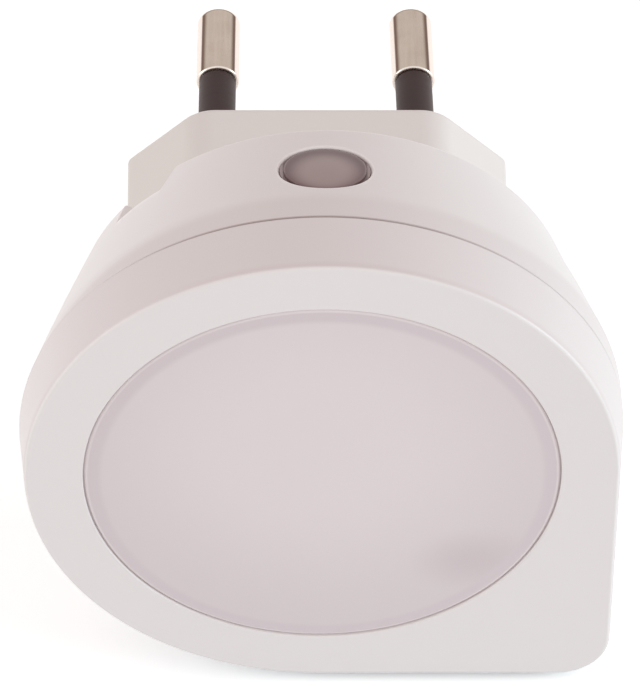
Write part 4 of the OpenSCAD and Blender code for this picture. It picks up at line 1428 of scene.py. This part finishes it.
def makeScrewPart(shank, head, headHeight, length, way, material):
    # its seat lies in the plane of depth 0, the shank points the way given
    c = fasteners
    top, crown, pitch = -headHeight, headHeight * c["crown"], c["threadPitch"]
    profile = [(0, top)]
    profile += [(head * share, top + crown * (1 - math.sqrt(1 - share ** 2)))
                for share in c["crownShares"]]
    profile += [(head, top + crown), (head, -c["edge"]), (head - c["edge"], 0), (shank, 0),
                (shank, c["neck"])]
    for k in range(int((length - c["plainEnd"]) / pitch)):
        start = c["threadStart"] + k * pitch
        profile += [(shank - c["threadDepth"], start + pitch / 2), (shank, start + pitch)]
    profile += [(shank * 0.5, length - c["point"]), (0, length)]
    screw = toPiece("screwPart", *lathe([(r, d * way) for r, d in profile], 32), material)
    half, wide = head * c["recess"], head / 5
    low, high = sorted((way * (top - 1), way * top * 0.5))
    for across, up in ((half, wide), (wide, half)):
        cutWith(screw, block((-across, low, -up), (across, high, up)), "DIFFERENCE")
    return screw


def makeLightPart(c, material):
    # a square case with bevelled edges and a low round lens
    half, edge, level = c["side"] / 2, c["bevel"], c["height"] - c["step"]
    lensRadius = c["side"] * c["lensShare"]
    outline = [(x, z, c["cornerRound"]) for x, z in
               ((0, half), (half, half), (half, -half), (-half, -half), (-half, half), (0, half))]
    corners = [(p.x, p.y) for p in roundedPath(outline, 4, 0.02)][1:-1]
    points, rings = [], ((0, 0), (0, level - edge), (edge, level))
    for inset, depth in rings:
        points += [bench(x * (1 - inset / half), depth, z * (1 - inset / half)) for x, z in corners]
    dome = [(0, c["height"]), (lensRadius * 0.5, c["height"] - 0.02),
            (lensRadius * 0.85, c["height"] - 0.06), (lensRadius, level + 0.02),
            (lensRadius, level - 0.05), (0, level - 0.05)]
    case = (points, cappedFaces(len(rings), len(corners)))
    return toPiece("lightPart", *joined([case, lathe(dome, 32)]), material)


def makeLightMaterial(c):
    # the case is pale and the lens, which stands higher, is yellow
    g = pieceFinish("lightPackage")
    skin = g.skin(c["lensTone"], faded(c["lensTone"], 0.93), 0.6, 1.5, 0.08, (0.15, 0.25))
    level = (c["back"] + c["height"] - c["step"] + 0.01) * mm
    raised = g.calc("LESS_THAN", g.axes()[1], -level)
    return g.wear(skin, g.mix(raised, c["caseTone"], skin["Color"]), 0.002)


def makeChipPart(c, material):
    wide, thick, high = c["size"]
    cap, lip = c["cap"], c["lip"]
    parts = [block((-wide / 2 + cap, lip, -high / 2 + lip),
                   (wide / 2 - cap, thick - lip, high / 2 - lip))]
    parts += [block((side * wide / 2 - max(0, side) * cap, 0, -high / 2),
                    (side * wide / 2 + max(0, -side) * cap, thick, high / 2)) for side in (-1, 1)]
    return toPiece("chipPart", *joined(parts), material)


def makeZinc(c):
    g = pieceFinish("zincPlate", metallic=1.0)
    metal = g.metal(c["tone"], c["stain"], (1, 1, 1), 0.3, (0.2, 0.36))
    return g.wear(metal, metal["Color"], 0.002)


setOutTree = makeSetOutTree()
zinc = makeZinc(fasteners)
for k, (name, node, shank, head, headHeight, length, seat, way, places) in enumerate(fasteners["sets"]):
    spots = [bench(aroundFace(*at)[0], seat, aroundFace(*at)[1]) for at in places]
    part = makeScrewPart(shank, head, headHeight, length, way, zinc)
    piece = setOut(name, part, spots, [0.0] * len(spots), zinc, fasteners["spin"], 7 + k)
    place(piece, "zinc_screw", node)

lightFinish = makeLightMaterial(lights)
lightTurns = [2 * math.pi * k / lights["count"] for k in range(lights["count"])]
lightSpots = [polar(turn, lights["ring"], lights["back"]) for turn in lightTurns]
lightPackages = setOut("lightPackages", makeLightPart(lights, lightFinish), lightSpots, lightTurns,
                       lightFinish)
place(lightPackages, "led_yellow", "led_packages")

chipFinish = moulding("chipCeramic", chips["tone"], chips["shade"], 0.7, 1.0, 0.05, (0.3, 0.5))
chipSpots = [bench(x, chips["back"], z) for x, z in chips["places"]]
chipResistors = setOut("chipResistors", makeChipPart(chips, chipFinish), chipSpots,
                       [0.0] * len(chipSpots), chipFinish)
place(chipResistors, "moulding_black", "chip_resistors")
print("night light: screws, lights and chips set out")


# finishes of the parts inside that keep their frame shape

def axial(name, centre, axis, halfLength, body, band, pitch=1.6, share=0.35, reach=2.6,
          rough=0.35, coat=0.3):
    # centre is given as (across, depth, up)
    g = pieceFinish(name)
    paint = g.use(axialFinish, {
        "Centre": tuple(bench(*centre)), "Axis": axis, "Half Length": halfLength + 0.02,
        "Band Pitch": pitch, "Band Share": share, "Band Reach": reach, "Body": body, "Band": band})
    g.feed(g.shader["Base Color"], paint["Color"])
    g.feed(g.shader["Metallic"], paint["Metal"])
    g.feed(g.shader["Roughness"], rough)
    g.feed(g.shader["Coat Weight"], coat)
    g.bump(g.noise(g.place, 1 / (0.3 * mm), 2), 0.004)
    return g.material


boardFinish = {
    "mask": (0.030, 0.15, 0.055),
    "copper": (0.050, 0.22, 0.085),
    "trackRadian": 1.9,
    "trackFrom": 0.72,
    "patch": 9,
    "relief": 0.03,
    "rough": 0.3,
    "coat": 0.4,
}
cellFinish = {
    "track": (0.62, 0.24, 0.10),
    "base": (0.80, 0.70, 0.52),
    "trackRadian": 0.45,
    "winding": 1.5,
    "rough": 0.4,
}


def makeBoardFinish(c):
    # solder mask over square tracks that come and go
    g = pieceFinish("greenBoard")
    upright, level = (g.calc("GREATER_THAN", g.bands(g.place, way, c["trackRadian"]), c["trackFrom"])
                      for way in "XZ")
    choice = g.calc("GREATER_THAN", g.noise(g.place, 1 / (c["patch"] * mm), 1), 0.5)
    lines = g.calc("ADD", g.calc("MULTIPLY", upright, choice),
                   g.calc("MULTIPLY", level, g.calc("SUBTRACT", 1.0, choice)), True)
    g.feed(g.shader["Base Color"], g.mix(lines, c["mask"], c["copper"]))
    g.feed(g.shader["Roughness"], c["rough"])
    g.feed(g.shader["Coat Weight"], c["coat"])
    g.bump(lines, c["relief"])
    return g.material


def makeCellFinish(c):
    # the red winding track of the light-dependent resistor
    g = pieceFinish("cellTrack")
    lines = g.calc("GREATER_THAN", g.bands(g.place, "X", c["trackRadian"], c["winding"]), 0.5)
    g.feed(g.shader["Base Color"], g.mix(lines, c["track"], c["base"]))
    g.feed(g.shader["Roughness"], c["rough"])
    return g.material


darkMoulding = moulding("darkMoulding", (0.020, 0.020, 0.022), (0.030, 0.030, 0.033), 0.7, 3, 0.09,
                        (0.4, 0.55))
insideFinishes = {
    "plug_retainer": moulding("creamPlastic", (0.74, 0.70, 0.62), (0.70, 0.66, 0.58), 0.5, 9, 0.14),
    "pin_carrier": moulding("greyPlastic", (0.105, 0.105, 0.115), (0.085, 0.085, 0.095), 0.6, 6, 0.12),
    "live_lead": moulding("brownSleeve", (0.17, 0.06, 0.025), (0.14, 0.05, 0.02), 0.5, 5, 0.1,
                          (0.25, 0.35)),
    "neutral_lead": moulding("blueSleeve", (0.035, 0.10, 0.42), (0.03, 0.085, 0.36), 0.5, 5, 0.1,
                             (0.25, 0.35)),
    "driver_board": makeBoardFinish(boardFinish),
    "film_capacitor": moulding("yellowBox", (0.72, 0.42, 0.035), (0.66, 0.38, 0.03), 0.5, 5, 0.08),
    "smoothing_capacitor": axial("navySleeve", (5.5, 29.2, -6.5), (1, 0, 0), 5.5, (0.020, 0.030, 0.085),
                                 (0.55, 0.58, 0.62), pitch=20, share=0.03, reach=5.4, rough=0.25),
    "bridge_rectifier": darkMoulding,
    "fusible_resistor": axial("greenResistor", (-13, 28.6, 1.5), (0, 0, 1), 4.0, (0.10, 0.32, 0.17),
                              (0.16, 0.06, 0.02)),
    "bleeder_resistor": axial("tanResistor", (-4.5, 28.2, -13), (1, 0, 0), 3.15, (0.66, 0.50, 0.27),
                              (0.45, 0.02, 0.015), pitch=1.3, reach=2.0),
    "surge_absorber": moulding("blueEpoxy", (0.035, 0.13, 0.50), (0.03, 0.11, 0.43), 0.6, 3, 0.2,
                               (0.2, 0.3), 0.01),
    "switch_transistor": darkMoulding,
    "zener_diode": axial("glassDiode", (9.5, 27.95, -12.5), (1, 0, 0), 1.9, (0.55, 0.16, 0.06),
                         (0.02, 0.02, 0.02), pitch=8, share=0.09, reach=1.6, rough=0.12, coat=0.8),
    "light_sensor": makeCellFinish(cellFinish),
    "sensor_holder": darkMoulding,
    "link_header": darkMoulding,
    "led_board": moulding("whiteMask", (0.82, 0.82, 0.79), (0.79, 0.79, 0.76), 0.5, 8, 0.1),
    "reflector_tray": moulding("trayPlastic", (0.88, 0.88, 0.87), (0.85, 0.85, 0.84), 0.5, 12, 0.14,
                               (0.25, 0.35)),
}
for nodeName, material in insideFinishes.items():
    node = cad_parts[nodeName]
    if not node.material_slots:
        node.data.materials.append(material)
    for materialSlot in node.material_slots:
        materialSlot.material = material
print("night light:", len(insideFinishes), "parts inside have their finish")
